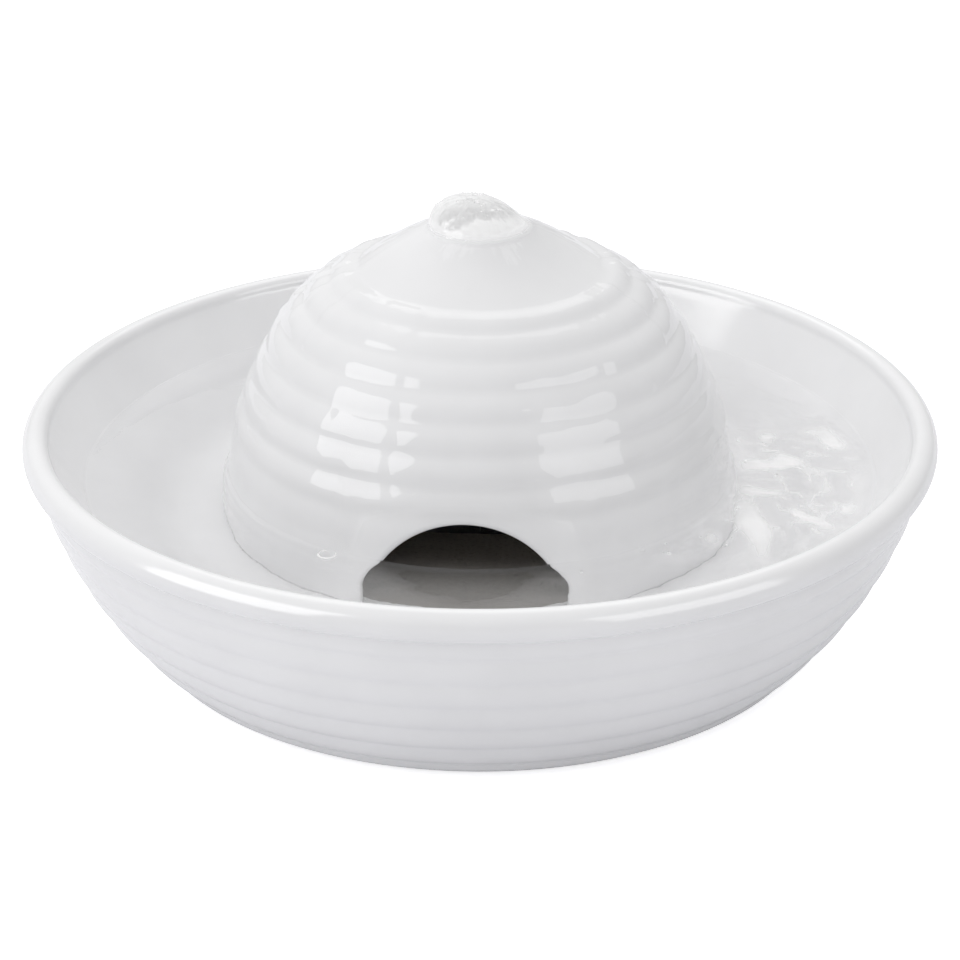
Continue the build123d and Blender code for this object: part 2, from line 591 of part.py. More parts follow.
def make_intake_strainer():
    """Cap with windows in front and slots in its sides, pushed onto the step of the flange."""
    strainer = along_shaft(pump_outline(), STRAINER_FRONT, STRAINER_BACK)
    strainer -= along_shaft(pump_outline(STRAINER_WALL), STRAINER_INSIDE_FRONT, STRAINER_BACK)
    strainer -= along_shaft(windows(WINDOW_COUNT), STRAINER_FRONT, STRAINER_INSIDE_FRONT)
    knob_slot = Pos(SLIDER_TRAVEL / 2, -KNOB_DROP) * Rectangle(
        KNOB_WIDTH + SLIDER_TRAVEL + 2 * SEAT_GAP, KNOB_HEIGHT + 2 * SEAT_GAP)
    strainer -= along_shaft(knob_slot, STRAINER_FRONT, STRAINER_INSIDE_FRONT)
    top_rail = Pos(0, slider_top() + SEAT_GAP + RAIL_HEIGHT / 2) * Rectangle(
        STRAINER_INSIDE_WIDTH, RAIL_HEIGHT
    )
    foot_rail = Pos(0, slider_bottom() - SEAT_GAP - RAIL_HEIGHT / 2) * Rectangle(
        STRAINER_INSIDE_WIDTH - 2 * STRAINER_INSIDE_CORNER, RAIL_HEIGHT)
    strainer += along_shaft(top_rail + foot_rail, STRAINER_INSIDE_FRONT, SLIDER_BACK)
    return strainer - spigot_slot() - side_slots()


def spigot_slot():
    """Slot in the strainer's roof, open at the back, that clears the outlet's collar."""
    half = TUBE_RADIUS + SLIP_GAP
    slot = Circle(half) + Pos(0, STRAINER_BACK / 2) * Rectangle(2 * half, STRAINER_BACK)
    return Pos(0, 0, PUMP_AXIS_HEIGHT) * extrude(slot, PUMP_HEIGHT / 2 + OVERCUT)


def side_slots():
    """Upright slots through both sides of the strainer."""
    middle = (STRAINER_INSIDE_FRONT + CHAMBER_FRONT) / 2
    first = middle - SIDE_SLOT_PITCH * (SIDE_SLOT_COUNT - 1) / 2
    return [
        Pos(0, first + step * SIDE_SLOT_PITCH, PUMP_AXIS_HEIGHT)
        * Box(PUMP_WIDTH + 2 * OVERCUT, SIDE_SLOT_WIDTH, SIDE_SLOT_HEIGHT)
        for step in range(SIDE_SLOT_COUNT)
    ]


def make_filter_sponge():
    """Block of open foam that fills the strainer behind the slider."""
    inside = pump_outline(STRAINER_WALL + SEAT_GAP)
    return along_shaft(inside, SLIDER_BACK + END_GAP, CHAMBER_FRONT - SLIP_GAP)


def make_flow_slider():
    """Shutter behind the windows; its knob slides it across to close them."""
    left = window_middles(1)[0] - WINDOW_WIDTH / 2 - SLIDER_TRAVEL
    right = window_middles(WINDOW_COUNT)[-1] - WINDOW_WIDTH / 2
    plate = Pos((left + right) / 2, (slider_top() + slider_bottom()) / 2) * Rectangle(
        right - left, slider_top() - slider_bottom())
    slider = along_shaft(plate - windows(WINDOW_COUNT - 1), SLIDER_FRONT, SLIDER_BACK)
    knob = Pos(0, -KNOB_DROP) * Rectangle(KNOB_WIDTH, KNOB_HEIGHT)
    return slider + along_shaft(knob, STRAINER_FRONT - KNOB_REACH, SLIDER_FRONT)


# ---- all pieces, one file each

PIECES = {
    "bowl": make_bowl(),
    "dome": make_dome(),
    "outlet_tube": make_outlet_tube(),
    "outlet_seal": make_outlet_seal(),
    "pump_housing": make_pump_housing(),
    "stator_core": make_stator_core(),
    "coil_bobbin": make_coil_bobbin(),
    "coil_winding": make_coil_winding(),
    "potting_resin": make_potting_resin(),
    "cable_gland": make_cable_gland(),
    "suction_cups": make_suction_cups(),
    "volute_cover": make_volute_cover(),
    "chamber_seal": make_chamber_seal(),
    "front_bush": make_bush(FRONT_BUSH_FRONT),
    "rear_bush": make_bush(WELL_END),
    "front_washer": make_washer(FRONT_BUSH_BACK),
    "rear_washer": make_washer(WELL_END - WASHER_THICKNESS),
    "impeller_shaft": make_shaft(),
    "impeller": make_impeller(),
    "rotor_magnet": make_rotor_magnet(),
    "intake_strainer": make_intake_strainer(),
    "filter_sponge": make_filter_sponge(),
    "flow_slider": make_flow_slider(),
}

os.makedirs("parts", exist_ok=True)
for name, piece in PIECES.items():
    export_step(piece, f"parts/{name}.step")
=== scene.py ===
"""Looks of a pet water fountain: glazed stoneware bowl and dome, running water and a small pump.

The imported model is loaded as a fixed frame. The bowl and the dome are turned walls whose throwing
rings a node tree raises, the water is a pool in the bowl and a skin over the dome, and the pump's
pieces keep their solids and get their finishes. Lengths are in millimetres unless a name or comment
says otherwise, and become metres where a mesh is made.
"""

import logging
import math
from collections.abc import Callable, Iterator, Sequence
from dataclasses import dataclass, field, replace
from enum import Enum
from functools import cache

import bmesh
import bpy
import numpy as np
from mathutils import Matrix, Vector, noise


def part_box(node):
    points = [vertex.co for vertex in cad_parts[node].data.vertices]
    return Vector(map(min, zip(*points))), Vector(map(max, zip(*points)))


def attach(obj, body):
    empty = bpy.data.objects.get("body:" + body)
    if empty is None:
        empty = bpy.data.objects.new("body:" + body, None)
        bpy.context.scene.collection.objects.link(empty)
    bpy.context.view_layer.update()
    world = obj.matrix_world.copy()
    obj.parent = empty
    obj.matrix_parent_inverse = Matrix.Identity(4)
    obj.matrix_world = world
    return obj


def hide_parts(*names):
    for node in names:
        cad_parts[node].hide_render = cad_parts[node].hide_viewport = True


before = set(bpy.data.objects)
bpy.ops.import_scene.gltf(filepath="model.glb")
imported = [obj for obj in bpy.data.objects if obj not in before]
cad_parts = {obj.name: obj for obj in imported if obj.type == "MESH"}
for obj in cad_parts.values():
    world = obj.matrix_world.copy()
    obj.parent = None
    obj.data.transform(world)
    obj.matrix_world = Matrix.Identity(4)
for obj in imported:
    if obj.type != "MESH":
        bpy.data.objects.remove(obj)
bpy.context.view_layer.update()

LOG = logging.getLogger("fountain")
MM = 0.001

# Faces round a turned wall, faces across the quarter round of an opening's edge, and points that an
# opening's top and the dome's side are measured by.
WALL_COLUMNS = 288
ROUNDING_STEPS = 5
HALF_TURN_SAMPLES = 361
SIDE_SAMPLES = 4001

# Sizes that more than one sub-assembly shares.
DOME_RADIUS = 79.5
WATER_LEVEL = 52.5

GLAZE_IOR = 1.52
WATER_IOR = 1.333

SocketValue = float | int | bool | tuple | bpy.types.NodeSocket | bpy.types.Material
# Radius and height of a point on a contour (or its place on a level surface), a point in space, the
# two ends of a smooth rise, and the rows, first column and count of columns of an opening's gap.
Spot = tuple[float, float]
Point = tuple[float, float, float]
Rise = tuple[float, float]
Span = tuple[int, int, int]

# Shares of the way from an opening's edge to the wall's grid where water and rings come back.
WET_RISE: Rise = (0.0, 0.8)
RELIEF_RISE: Rise = (0.0, 0.25)


class Body(Enum):
    """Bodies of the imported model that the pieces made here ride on."""

    BASE = "base"
    DOME = "dome"
    STRAINER = "strainer"


# ---- shared helpers


def linear(code: str) -> tuple[float, float, float, float]:
    """Turn an sRGB hex colour into linear red, green, blue and alpha.

    Args:
        code: Six hex digits.

    Returns:
        Linear colour with full alpha.
    """
    shares = [int(code[i : i + 2], 16) / 255 for i in (0, 2, 4)]
    values = [s / 12.92 if s <= 0.04045 else ((s + 0.055) / 1.055) ** 2.4 for s in shares]
    return (*values, 1.0)


def add_node(
    tree: bpy.types.NodeTree,
    kind: str,
    inputs: dict[str | int, SocketValue] | None = None,
    **settings: object,
) -> bpy.types.Node:
    """Add a node, change its settings, and fill or link its inputs.

    Args:
        tree: Tree that gets the node.
        kind: Type name of the node.
        inputs: Plain values or output sockets, by the input's name or number.
        settings: Properties of the node itself.

    Returns:
        The new node.
    """
    node = tree.nodes.new(kind)
    for name, value in settings.items():
        setattr(node, name, value)
    for key, value in (inputs or {}).items():
        if isinstance(value, bpy.types.NodeSocket):
            tree.links.new(value, node.inputs[key])
        else:
            node.inputs[key].default_value = value
    return node


def smooth_step(low: float, high: float, value: float) -> float:
    """Rise smoothly from 0 at low to 1 at high."""
    share = min(1.0, max(0.0, (value - low) / (high - low)))
    return share * share * (3 - 2 * share)


def arc(start: Spot, through: Spot, end: Spot, spacing: float) -> list[Spot]:
    """Points along the arc through three points.

    Args:
        start: Radius and height where the arc starts; it isn't repeated in the result.
        through: A point on the way.
        end: Where the arc ends.
        spacing: Longest step between points.

    Returns:
        The points after start, up to and with end.
    """
    a, b, c = complex(*start), complex(*through), complex(*end)
    w = (c - a) / (b - a)
    centre = a + (b - a) * (w - abs(w) ** 2) / (2j * w.imag)
    spoke = a - centre
    turn = float(np.angle((b - centre) / spoke) + np.angle((c - centre) / (b - centre)))
    count = max(2, math.ceil(abs(turn) * abs(spoke) / spacing))
    spots = [centre + spoke * np.exp(1j * turn * k / count) for k in range(1, count + 1)]
    return [(float(p.real), float(p.imag)) for p in spots]


def arc_about(centre: complex, start: complex, end: complex, spacing: float) -> list[Spot]:
    """Points along the shorter arc about a centre, without its start."""
    spokes = start + end - 2 * centre
    through = centre + spokes / abs(spokes) * abs(start - centre)
    return arc((start.real, start.imag), (through.real, through.imag), (end.real, end.imag), spacing)


def line(start: Spot, end: Spot, spacing: float) -> list[Spot]:
    """Points along a straight line, without its start."""
    count = max(1, math.ceil(math.dist(start, end) / spacing))
    return [tuple(s + (e - s) * k / count for s, e in zip(start, end)) for k in range(1, count + 1)]


def bowed(start: Spot, end: Spot, bulge: float) -> Spot:
    """Middle of the arc from start to end that bows out by bulge, to the right of the way it runs."""
    run = complex(*end) - complex(*start)
    middle = (complex(*start) + complex(*end)) / 2 - 1j * run / abs(run) * bulge
    return middle.real, middle.imag


def travelled_along(across: np.ndarray, up: np.ndarray) -> np.ndarray:
    """Length travelled along a curve at each of its points."""
    return np.concatenate([[0.0], np.cumsum(np.hypot(np.diff(across), np.diff(up)))])


def direction(azimuth: float, elevation: float) -> Vector:
    """Way that leads off at degrees round from the front to the right, and up from the horizon."""
    a, e = math.radians(azimuth), math.radians(elevation)
    return Vector((math.sin(a) * math.cos(e), -math.cos(a) * math.cos(e), math.sin(e)))


def put_in_scene(name: str, data: bpy.types.ID) -> bpy.types.Object:
    """Make an object with this data and put it in the scene."""
    item = bpy.data.objects.new(name, data)
    bpy.context.scene.collection.objects.link(item)
    return item


def place_facing(item: bpy.types.Object, target: Vector, way: Vector, distance: float) -> None:
    """Place a lamp or a camera at a distance from the target, facing it."""
    item.location = target + way * distance
    item.rotation_euler = (-way).to_track_quat("-Z", "Y").to_euler()


# ---- turned walls


@dataclass(frozen=True)
class Station:
    """One point of a turned wall's contour, with what the node trees read there.

    Attributes:
        radius: Distance from the axis.
        height: Height above the foot.
        ring: Throwing rings counted from the lowest groove.
        relief: Share of the full ring height.
        wet: Share of the full water film.
        lively: How much the water is stirred up.
        milky: How white the water is, from fine air bubbles and from painted light on the pool.
        bare: True if the face towards the next station has no glaze. Its dark clay is painted shade
            inside the dome and on the floor under it.
    """

    radius: float
    height: float
    ring: float = 0.0
    relief: float = 0.0
    wet: float = 0.0
    lively: float = 0.0
    milky: float = 0.0
    bare: bool = False


VALUE_NAMES = ("ring", "relief", "wet", "lively", "milky")


class Draft:
    """Vertices, their values and the faces of a piece, gathered before they become a mesh."""

    def __init__(self) -> None:
        """Start empty."""
        self.points: list[Point] = []
        self.values: list[tuple[float, ...]] = []
        self.faces: list[tuple[int, ...]] = []
        self.bare: list[bool] = []

    def add_point(self, point: Point, station: Station) -> int:
        """Add a vertex with the values of a station and return its number."""
        self.points.append(point)
        self.values.append(tuple(getattr(station, name) for name in VALUE_NAMES))
        return len(self.points) - 1

    def add_face(self, corners: Sequence[int], bare: bool = False) -> None:
        """Add a face, without corners that fall together and unless too few are left."""
        distinct = tuple(dict.fromkeys(corners))
        if len(distinct) > 2:
            self.faces.append(distinct)
            self.bare.append(bare)

    def add_strip(self, one: Sequence[int], other: Sequence[int], bare: bool = False) -> None:
        """Add the quads between two rows of vertices that run side by side."""
        for k in range(len(one) - 1):
            self.add_face((one[k], one[k + 1], other[k + 1], other[k]), bare)

    def revise(self, name: str, rule: Callable[[Point, float], float]) -> None:
        """Change one named value at every vertex by a rule of its place and its old value."""
        column = VALUE_NAMES.index(name)
        for k, (point, row) in enumerate(zip(self.points, self.values)):
            self.values[k] = (*row[:column], rule(point, row[column]), *row[column + 1 :])

    def to_object(self, name: str) -> bpy.types.Object:
        """Make the mesh object, in metres, with its faces turned outwards.

        Args:
            name: Name of the piece.

        Returns:
            The object, at the origin.
        """
        mesh = bpy.data.meshes.new(name)
        mesh.from_pydata([[c * MM for c in p] for p in self.points], [], self.faces)
        for column, value_name in enumerate(VALUE_NAMES):
            layer = mesh.attributes.new(value_name, "FLOAT", "POINT")
            layer.data.foreach_set("value", [row[column] for row in self.values])
        mesh.attributes.new("bare", "BOOLEAN", "FACE").data.foreach_set("value", self.bare)
        return finish_mesh(mesh, name)


def finish_mesh(mesh: bpy.types.Mesh, name: str) -> bpy.types.Object:
    """Turn a mesh's faces outwards, shade it smooth and put it in the scene as an object."""
    work = bmesh.new()
    work.from_mesh(mesh)
    bmesh.ops.recalc_face_normals(work, faces=work.faces)
    work.to_mesh(mesh)
    work.free()
    mesh.polygons.foreach_set("use_smooth", [True] * len(mesh.polygons))
    return put_in_scene(name, mesh)


@dataclass(frozen=True)
class Opening:
    """Round-topped opening through a turned wall, straight at the foot.

    Attributes:
        azimuth: Way it faces, in degrees from +X.
        half_width: Half its width.
        foot: Height of its foot.
        spring: Height where its round top starts.
        top: Height of its top.
        rounding: Radius of its rounded edges.
        reach: How far beyond its edge the wall's grid makes way for it.
        steps: Rows of faces between its edge and the wall's grid.
    """

    azimuth: float
    half_width: float
    foot: float
    spring: float
    top: float
    rounding: float
    reach: float = 8.0
    steps: int = 9

    def edge(self, shares: np.ndarray) -> Iterator[tuple[float, float, float, float]]:
        """Points of the edge from the left foot over the top to the right foot.

        Args:
            shares: How far along the edge each point lies, from 0 to 1.

        Yields:
            Place across and up, then the way out of the opening, across and up.
        """
        turn = np.linspace(math.pi, 0, HALF_TURN_SAMPLES)
        rise = self.top - self.spring
        across = np.concatenate([[-self.half_width], self.half_width * np.cos(turn), [self.half_width]])
        height = np.concatenate([[self.foot], self.spring + rise * np.sin(turn), [self.foot]])
        out_across = np.cos(turn) * rise
        out_up = np.sin(turn) * self.half_width
        length = np.hypot(out_across, out_up)
        out_across = np.concatenate([[-1.0], out_across / length, [1.0]])
        out_up = np.concatenate([[0.0], out_up / length, [0.0]])
        travelled = travelled_along(across, height)
        at = shares * travelled[-1]
        columns = [np.interp(at, travelled, column) for column in (across, height, out_across, out_up)]
        yield from zip(*columns)


class TurnedWall:
    """Closed contour turned about Z, with openings through its side.

    The contour's first stations climb the outer face from the foot and its last come down the inner
    face, station for station at the same heights, as far up as the openings reach.
    """

    def __init__(self, stations: Sequence[Station], columns: int, openings: Sequence[Opening] = ()) -> None:
        """Keep the contour and lay out the grid.

        Args:
            stations: The contour, in order and not repeated at its end.
            columns: Faces round the axis.
            openings: Openings through the side.
        """
        self.stations = stations
        self.columns = columns
        self.openings = openings
        self.draft = Draft()
        self.grid: list[list[int]] = []

    def to_draft(self) -> Draft:
        """Build the grid, the openings and the faces, and return the draft."""
        spans = [self._span(opening) for opening in self.openings]
        last = len(self.stations) - 1
        for row, station in enumerate(self.stations):
            self.grid.append(self._ring_of_points(station, min(row, last - row), spans))
        for row, station in enumerate(self.stations):
            following = self.grid[(row + 1) % len(self.stations)]
            depth = -1 if row == last else min(row, last - row - 1)
            here = self.grid[row]
            for column in range(self.columns):
                beside = (column + 1) % self.columns
                if any(depth < span[0] and self._within(column, beside, *span[1:]) for span in spans):
                    continue
                corners = (here[column], here[beside], following[beside], following[column])
                self.draft.add_face(corners, station.bare)
        for opening, span in zip(self.openings, spans):
            self._fit_opening(opening, *span)
        return self.draft

    def _span(self, opening: Opening) -> Span:
        """Rows, first column and count of columns of the grid that make way for an opening."""
        needed = opening.top + opening.rounding + opening.reach
        rows = next(row for row, station in enumerate(self.stations) if station.height >= needed)
        sine = (opening.half_width + opening.rounding + opening.reach) / self.stations[0].radius
        half = math.ceil(math.asin(sine) / math.tau * self.columns)
        middle = round(opening.azimuth / 360 * self.columns)
        return rows, (middle - half) % self.columns, 2 * half

    def _within(self, column: int, beside: int, first: int, count: int) -> bool:
        """True if the face between two neighbouring columns lies in a span of columns."""
        return (column - first) % self.columns < count and 0 < (beside - first) % self.columns <= count

    def _ring_of_points(self, station: Station, depth: int, spans: Sequence[Span]) -> list[int]:
        """Vertices of one row, one shared vertex on the axis, and none inside an opening's span."""
        if station.radius == 0:
            return [self.draft.add_point((0.0, 0.0, station.height), station)] * self.columns
        row = []
        for column in range(self.columns):
            hidden = any(
                depth < rows and 0 < (column - first) % self.columns < count for rows, first, count in spans
            )
            angle = math.tau * column / self.columns
            point = (station.radius * math.cos(angle), station.radius * math.sin(angle), station.height)
            row.append(-1 if hidden else self.draft.add_point(point, station))
        return row

    def _fit_opening(self, opening: Opening, rows: int, first: int, count: int) -> None:
        """Fill the grid's gap round one opening, outside and inside, and join the two by its edge."""
        feet: list[list[int]] = []
        sections: list[list[list[int]]] = []
        for inner in (False, True):
            order = [len(self.stations) - 1 - r if inner else r for r in range(rows + 1)]
            side = [self.stations[r] for r in order]
            frame_rows = [self.grid[r] for r in order]
            rim = [row[first] for row in frame_rows]
            rim += [frame_rows[-1][(first + k) % self.columns] for k in range(1, count)]
            rim += [row[(first + count) % self.columns] for row in reversed(frame_rows)]
            lines, cuts = self._patch(opening, side, rim, inner)
            for one, other in zip(lines, lines[1:]):
                self.draft.add_strip(one, other)
            feet += [lines[0], lines[-1]]
            sections.append(cuts)
        joined = [outside + inside[::-1] for outside, inside in zip(*sections)]
        for one, other in zip(joined, joined[1:]):
            self.draft.add_strip(one, other)
        bare = self.stations[-1].bare
        for outside, inside in zip(feet[:2], feet[2:]):
            self.draft.add_strip(outside, inside, bare)
        for cut in (joined[0], joined[-1]):
            self.draft.add_face(cut, bare)

    def _patch(
        self, opening: Opening, side: list[Station], rim: list[int], inner: bool
    ) -> tuple[list[list[int]], list[list[int]]]:
        """Vertices between an opening's edge and the grid's rim on one face of the wall.

        Args:
            opening: The opening.
            side: Stations of this face from the foot up.
            rim: The grid's vertices round the gap, from the left foot to the right one.
            inner: True for the inner face.

        Returns:
            The lines of vertices from the edge to the rim, and the rounding's own vertices from this
            face to the middle of the wall.
        """
        heights = [s.height for s in side]
        radii = [s.radius for s in side]
        facing = math.radians(opening.azimuth)
        spots = [Vector(self.draft.points[v]) for v in rim]
        paces = [0.0] + [(b - a).length for a, b in zip(spots, spots[1:])]
        shares = np.cumsum(paces) / sum(paces)

        def station_at(height: float, wet: float) -> Station:
            near = replace(side[0], radius=float(np.interp(height, heights, radii)), height=height)
            found = {n: float(np.interp(height, heights, [getattr(s, n) for s in side])) for n in VALUE_NAMES}
            found["wet"] *= wet
            return replace(near, **found)

        def place(across: float, height: float, sunk: float) -> Point:
            radius = float(np.interp(height, heights, radii))
            depth = math.sqrt(radius * radius - across * across) + (sunk if inner else -sunk)
            return (
                depth * math.cos(facing) - across * math.sin(facing),
                depth * math.sin(facing) + across * math.cos(facing),
                height,
            )

        lines, cuts = [], []
        for vertex, spot, (across, up, out_across, out_up) in zip(rim, spots, opening.edge(shares)):
            cut = []
            for turn in np.linspace(0, math.pi / 2, ROUNDING_STEPS + 1):
                off = opening.rounding * (1 - math.sin(turn))
                sunk = opening.rounding * (1 - math.cos(turn))
                where = place(across + out_across * off, up + out_up * off, sunk)
                cut.append(self.draft.add_point(where, Station(*where[:2])))
            start_across = across + out_across * opening.rounding
            start_height = up + out_up * opening.rounding
            start_angle = math.asin(start_across / float(np.interp(start_height, heights, radii)))
            end_angle = (math.atan2(spot.y, spot.x) - facing + math.pi) % math.tau - math.pi
            path = [cut[0]]
            for step in range(1, opening.steps):
                share = step / opening.steps
                height = start_height + (spot.z - start_height) * share
                angle = facing + start_angle + (end_angle - start_angle) * share
                station = station_at(height, smooth_step(*WET_RISE, share))
                station = replace(station, relief=station.relief * smooth_step(*RELIEF_RISE, share))
                where = (station.radius * math.cos(angle), station.radius * math.sin(angle), height)
                path.append(self.draft.add_point(where, station))
            cuts.append(cut)
            lines.append([*path, vertex])
        return lines, cuts


# ---- node trees that make shapes


def run_tree(piece: bpy.types.Object, tree: bpy.types.NodeTree, values: dict[str, SocketValue]) -> None:
    """Run a Geometry Nodes tree on a piece and keep what it makes as the piece's plain mesh.

    Args:
        piece: Object that is changed.
        tree: The tree.
        values: The tree's inputs, by name.
    """
    modifier = piece.modifiers.new(tree.name, "NODES")
    modifier.node_group = tree
    for item in tree.interface.items_tree:
        if item.item_type == "SOCKET" and item.in_out == "INPUT" and item.name in values:
            modifier[item.identifier] = values[item.name]
    graph = bpy.context.evaluated_depsgraph_get()
    made = bpy.data.meshes.new_from_object(
        piece.evaluated_get(graph), preserve_all_data_layers=True, depsgraph=graph
    )
    piece.modifiers.remove(modifier)
    piece.data = made
    made.name = piece.name


def new_geometry_tree(
    name: str, **inputs: Sequence[str]
) -> tuple[bpy.types.NodeTree, bpy.types.bpy_prop_collection]:
    """Start a Geometry Nodes tree.

    Args:
        name: Name of the tree.
        inputs: Names of its inputs, by the kind of socket: Float, Int or Material.

    Returns:
        The tree, and the sockets that its inputs come in by.
    """
    tree = bpy.data.node_groups.new(name, "GeometryNodeTree")
    tree.interface.new_socket("Geometry", in_out="INPUT", socket_type="NodeSocketGeometry")
    for kind, names in inputs.items():
        for socket_name in names:
            tree.interface.new_socket(socket_name, in_out="INPUT", socket_type=f"NodeSocket{kind}")
    tree.interface.new_socket("Geometry", in_out="OUTPUT", socket_type="NodeSocketGeometry")
    return tree, add_node(tree, "NodeGroupInput").outputs


def close_geometry_tree(tree: bpy.types.NodeTree, geometry: bpy.types.NodeSocket, *dressings: tuple) -> None:
    """End a tree in Realize Instances and Set Material.

    Args:
        tree: The tree.
        geometry: What it has made so far.
        dressings: Pairs of a material socket and a selection socket, or None for all faces.
    """
    solid = add_node(tree, "GeometryNodeRealizeInstances", {"Geometry": geometry}).outputs[0]
    for material, selection in dressings:
        inputs = {"Geometry": solid, "Material": material}
        if selection is not None:
            inputs["Selection"] = selection
        solid = add_node(tree, "GeometryNodeSetMaterial", inputs).outputs[0]
    add_node(tree, "NodeGroupOutput", {"Geometry": solid})


@cache
def throwing_ring_tree() -> bpy.types.NodeTree:
    """Build, once, the tree that raises throwing rings on a turned wall and glazes it.

    A ring is a broad crest between two narrow grooves, which the glaze has softened. The rings
    wander a little up and down and in height, as rings left by fingers do.

    Returns:
        The tree.
    """
    tree, at = new_geometry_tree(
        "throwing_rings",
        Float=("Ring Height", "Groove Softness", "Wander", "Unevenness", "Wander Length", "Seed"),
        Material=("Glaze", "Wetted Glaze", "Bare Clay And Shade"),
    )
    ring, relief, wet = (
        add_node(tree, "GeometryNodeInputNamedAttribute", {"Name": name}, data_type="FLOAT").outputs[0]
        for name in ("ring", "relief", "wet")
    )
    length = {0: 1.0, 1: at["Wander Length"]}
    per_metre = add_node(tree, "ShaderNodeMath", length, operation="DIVIDE").outputs[0]
    waves = {"W": at["Seed"], "Scale": per_metre, "Detail": 1.0}
    wandering = add_node(tree, "ShaderNodeTexNoise", waves, noise_dimensions="4D").outputs[0]
    drift = add_node(tree, "ShaderNodeMath", {0: wandering, 1: -0.5}, operation="ADD").outputs[0]
    shift = add_node(tree, "ShaderNodeMath", {0: drift, 1: at["Wander"]}, operation="MULTIPLY").outputs[0]
    phase = add_node(tree, "ShaderNodeMath", {0: ring, 1: shift}, operation="ADD").outputs[0]
    angle = add_node(tree, "ShaderNodeMath", {0: phase, 1: math.pi}, operation="MULTIPLY").outputs[0]
    sine = add_node(tree, "ShaderNodeMath", {0: angle}, operation="SINE").outputs[0]
    square = add_node(tree, "ShaderNodeMath", {0: sine, 1: sine}, operation="MULTIPLY").outputs[0]
    soft = at["Groove Softness"]
    soft_square = add_node(tree, "ShaderNodeMath", {0: soft, 1: soft}, operation="MULTIPLY").outputs[0]
    total = add_node(tree, "ShaderNodeMath", {0: square, 1: soft_square}, operation="ADD").outputs[0]
    root = add_node(tree, "ShaderNodeMath", {0: total}, operation="SQRT").outputs[0]
    crest = add_node(tree, "ShaderNodeMath", {0: root, 1: soft}, operation="SUBTRACT").outputs[0]
    varied = {0: drift, 1: at["Unevenness"], 2: 1.0}
    uneven = add_node(tree, "ShaderNodeMath", varied, operation="MULTIPLY_ADD").outputs[0]
    rise = relief
    for factor in (uneven, at["Ring Height"], crest):
        rise = add_node(tree, "ShaderNodeMath", {0: rise, 1: factor}, operation="MULTIPLY").outputs[0]
    normal = add_node(tree, "GeometryNodeInputNormal").outputs[0]
    offset = add_node(tree, "ShaderNodeVectorMath", {0: normal, "Scale": rise}, operation="SCALE").outputs[0]
    moved = {"Geometry": at["Geometry"], "Offset": offset}
    raised = add_node(tree, "GeometryNodeSetPosition", moved).outputs[0]
    # Faces of bare clay: the foot ring, and painted shade inside the dome and on the floor under it.
    bare = add_node(
        tree, "GeometryNodeInputNamedAttribute", {"Name": "bare"}, data_type="BOOLEAN"
    ).outputs[0]
    wetted = add_node(tree, "FunctionNodeCompare", {0: wet, 1: 0.5}, operation="GREATER_THAN").outputs[0]
    dressings = ((at["Glaze"], None), (at["Wetted Glaze"], wetted), (at["Bare Clay And Shade"], bare))
    close_geometry_tree(tree, raised, *dressings)
    return tree


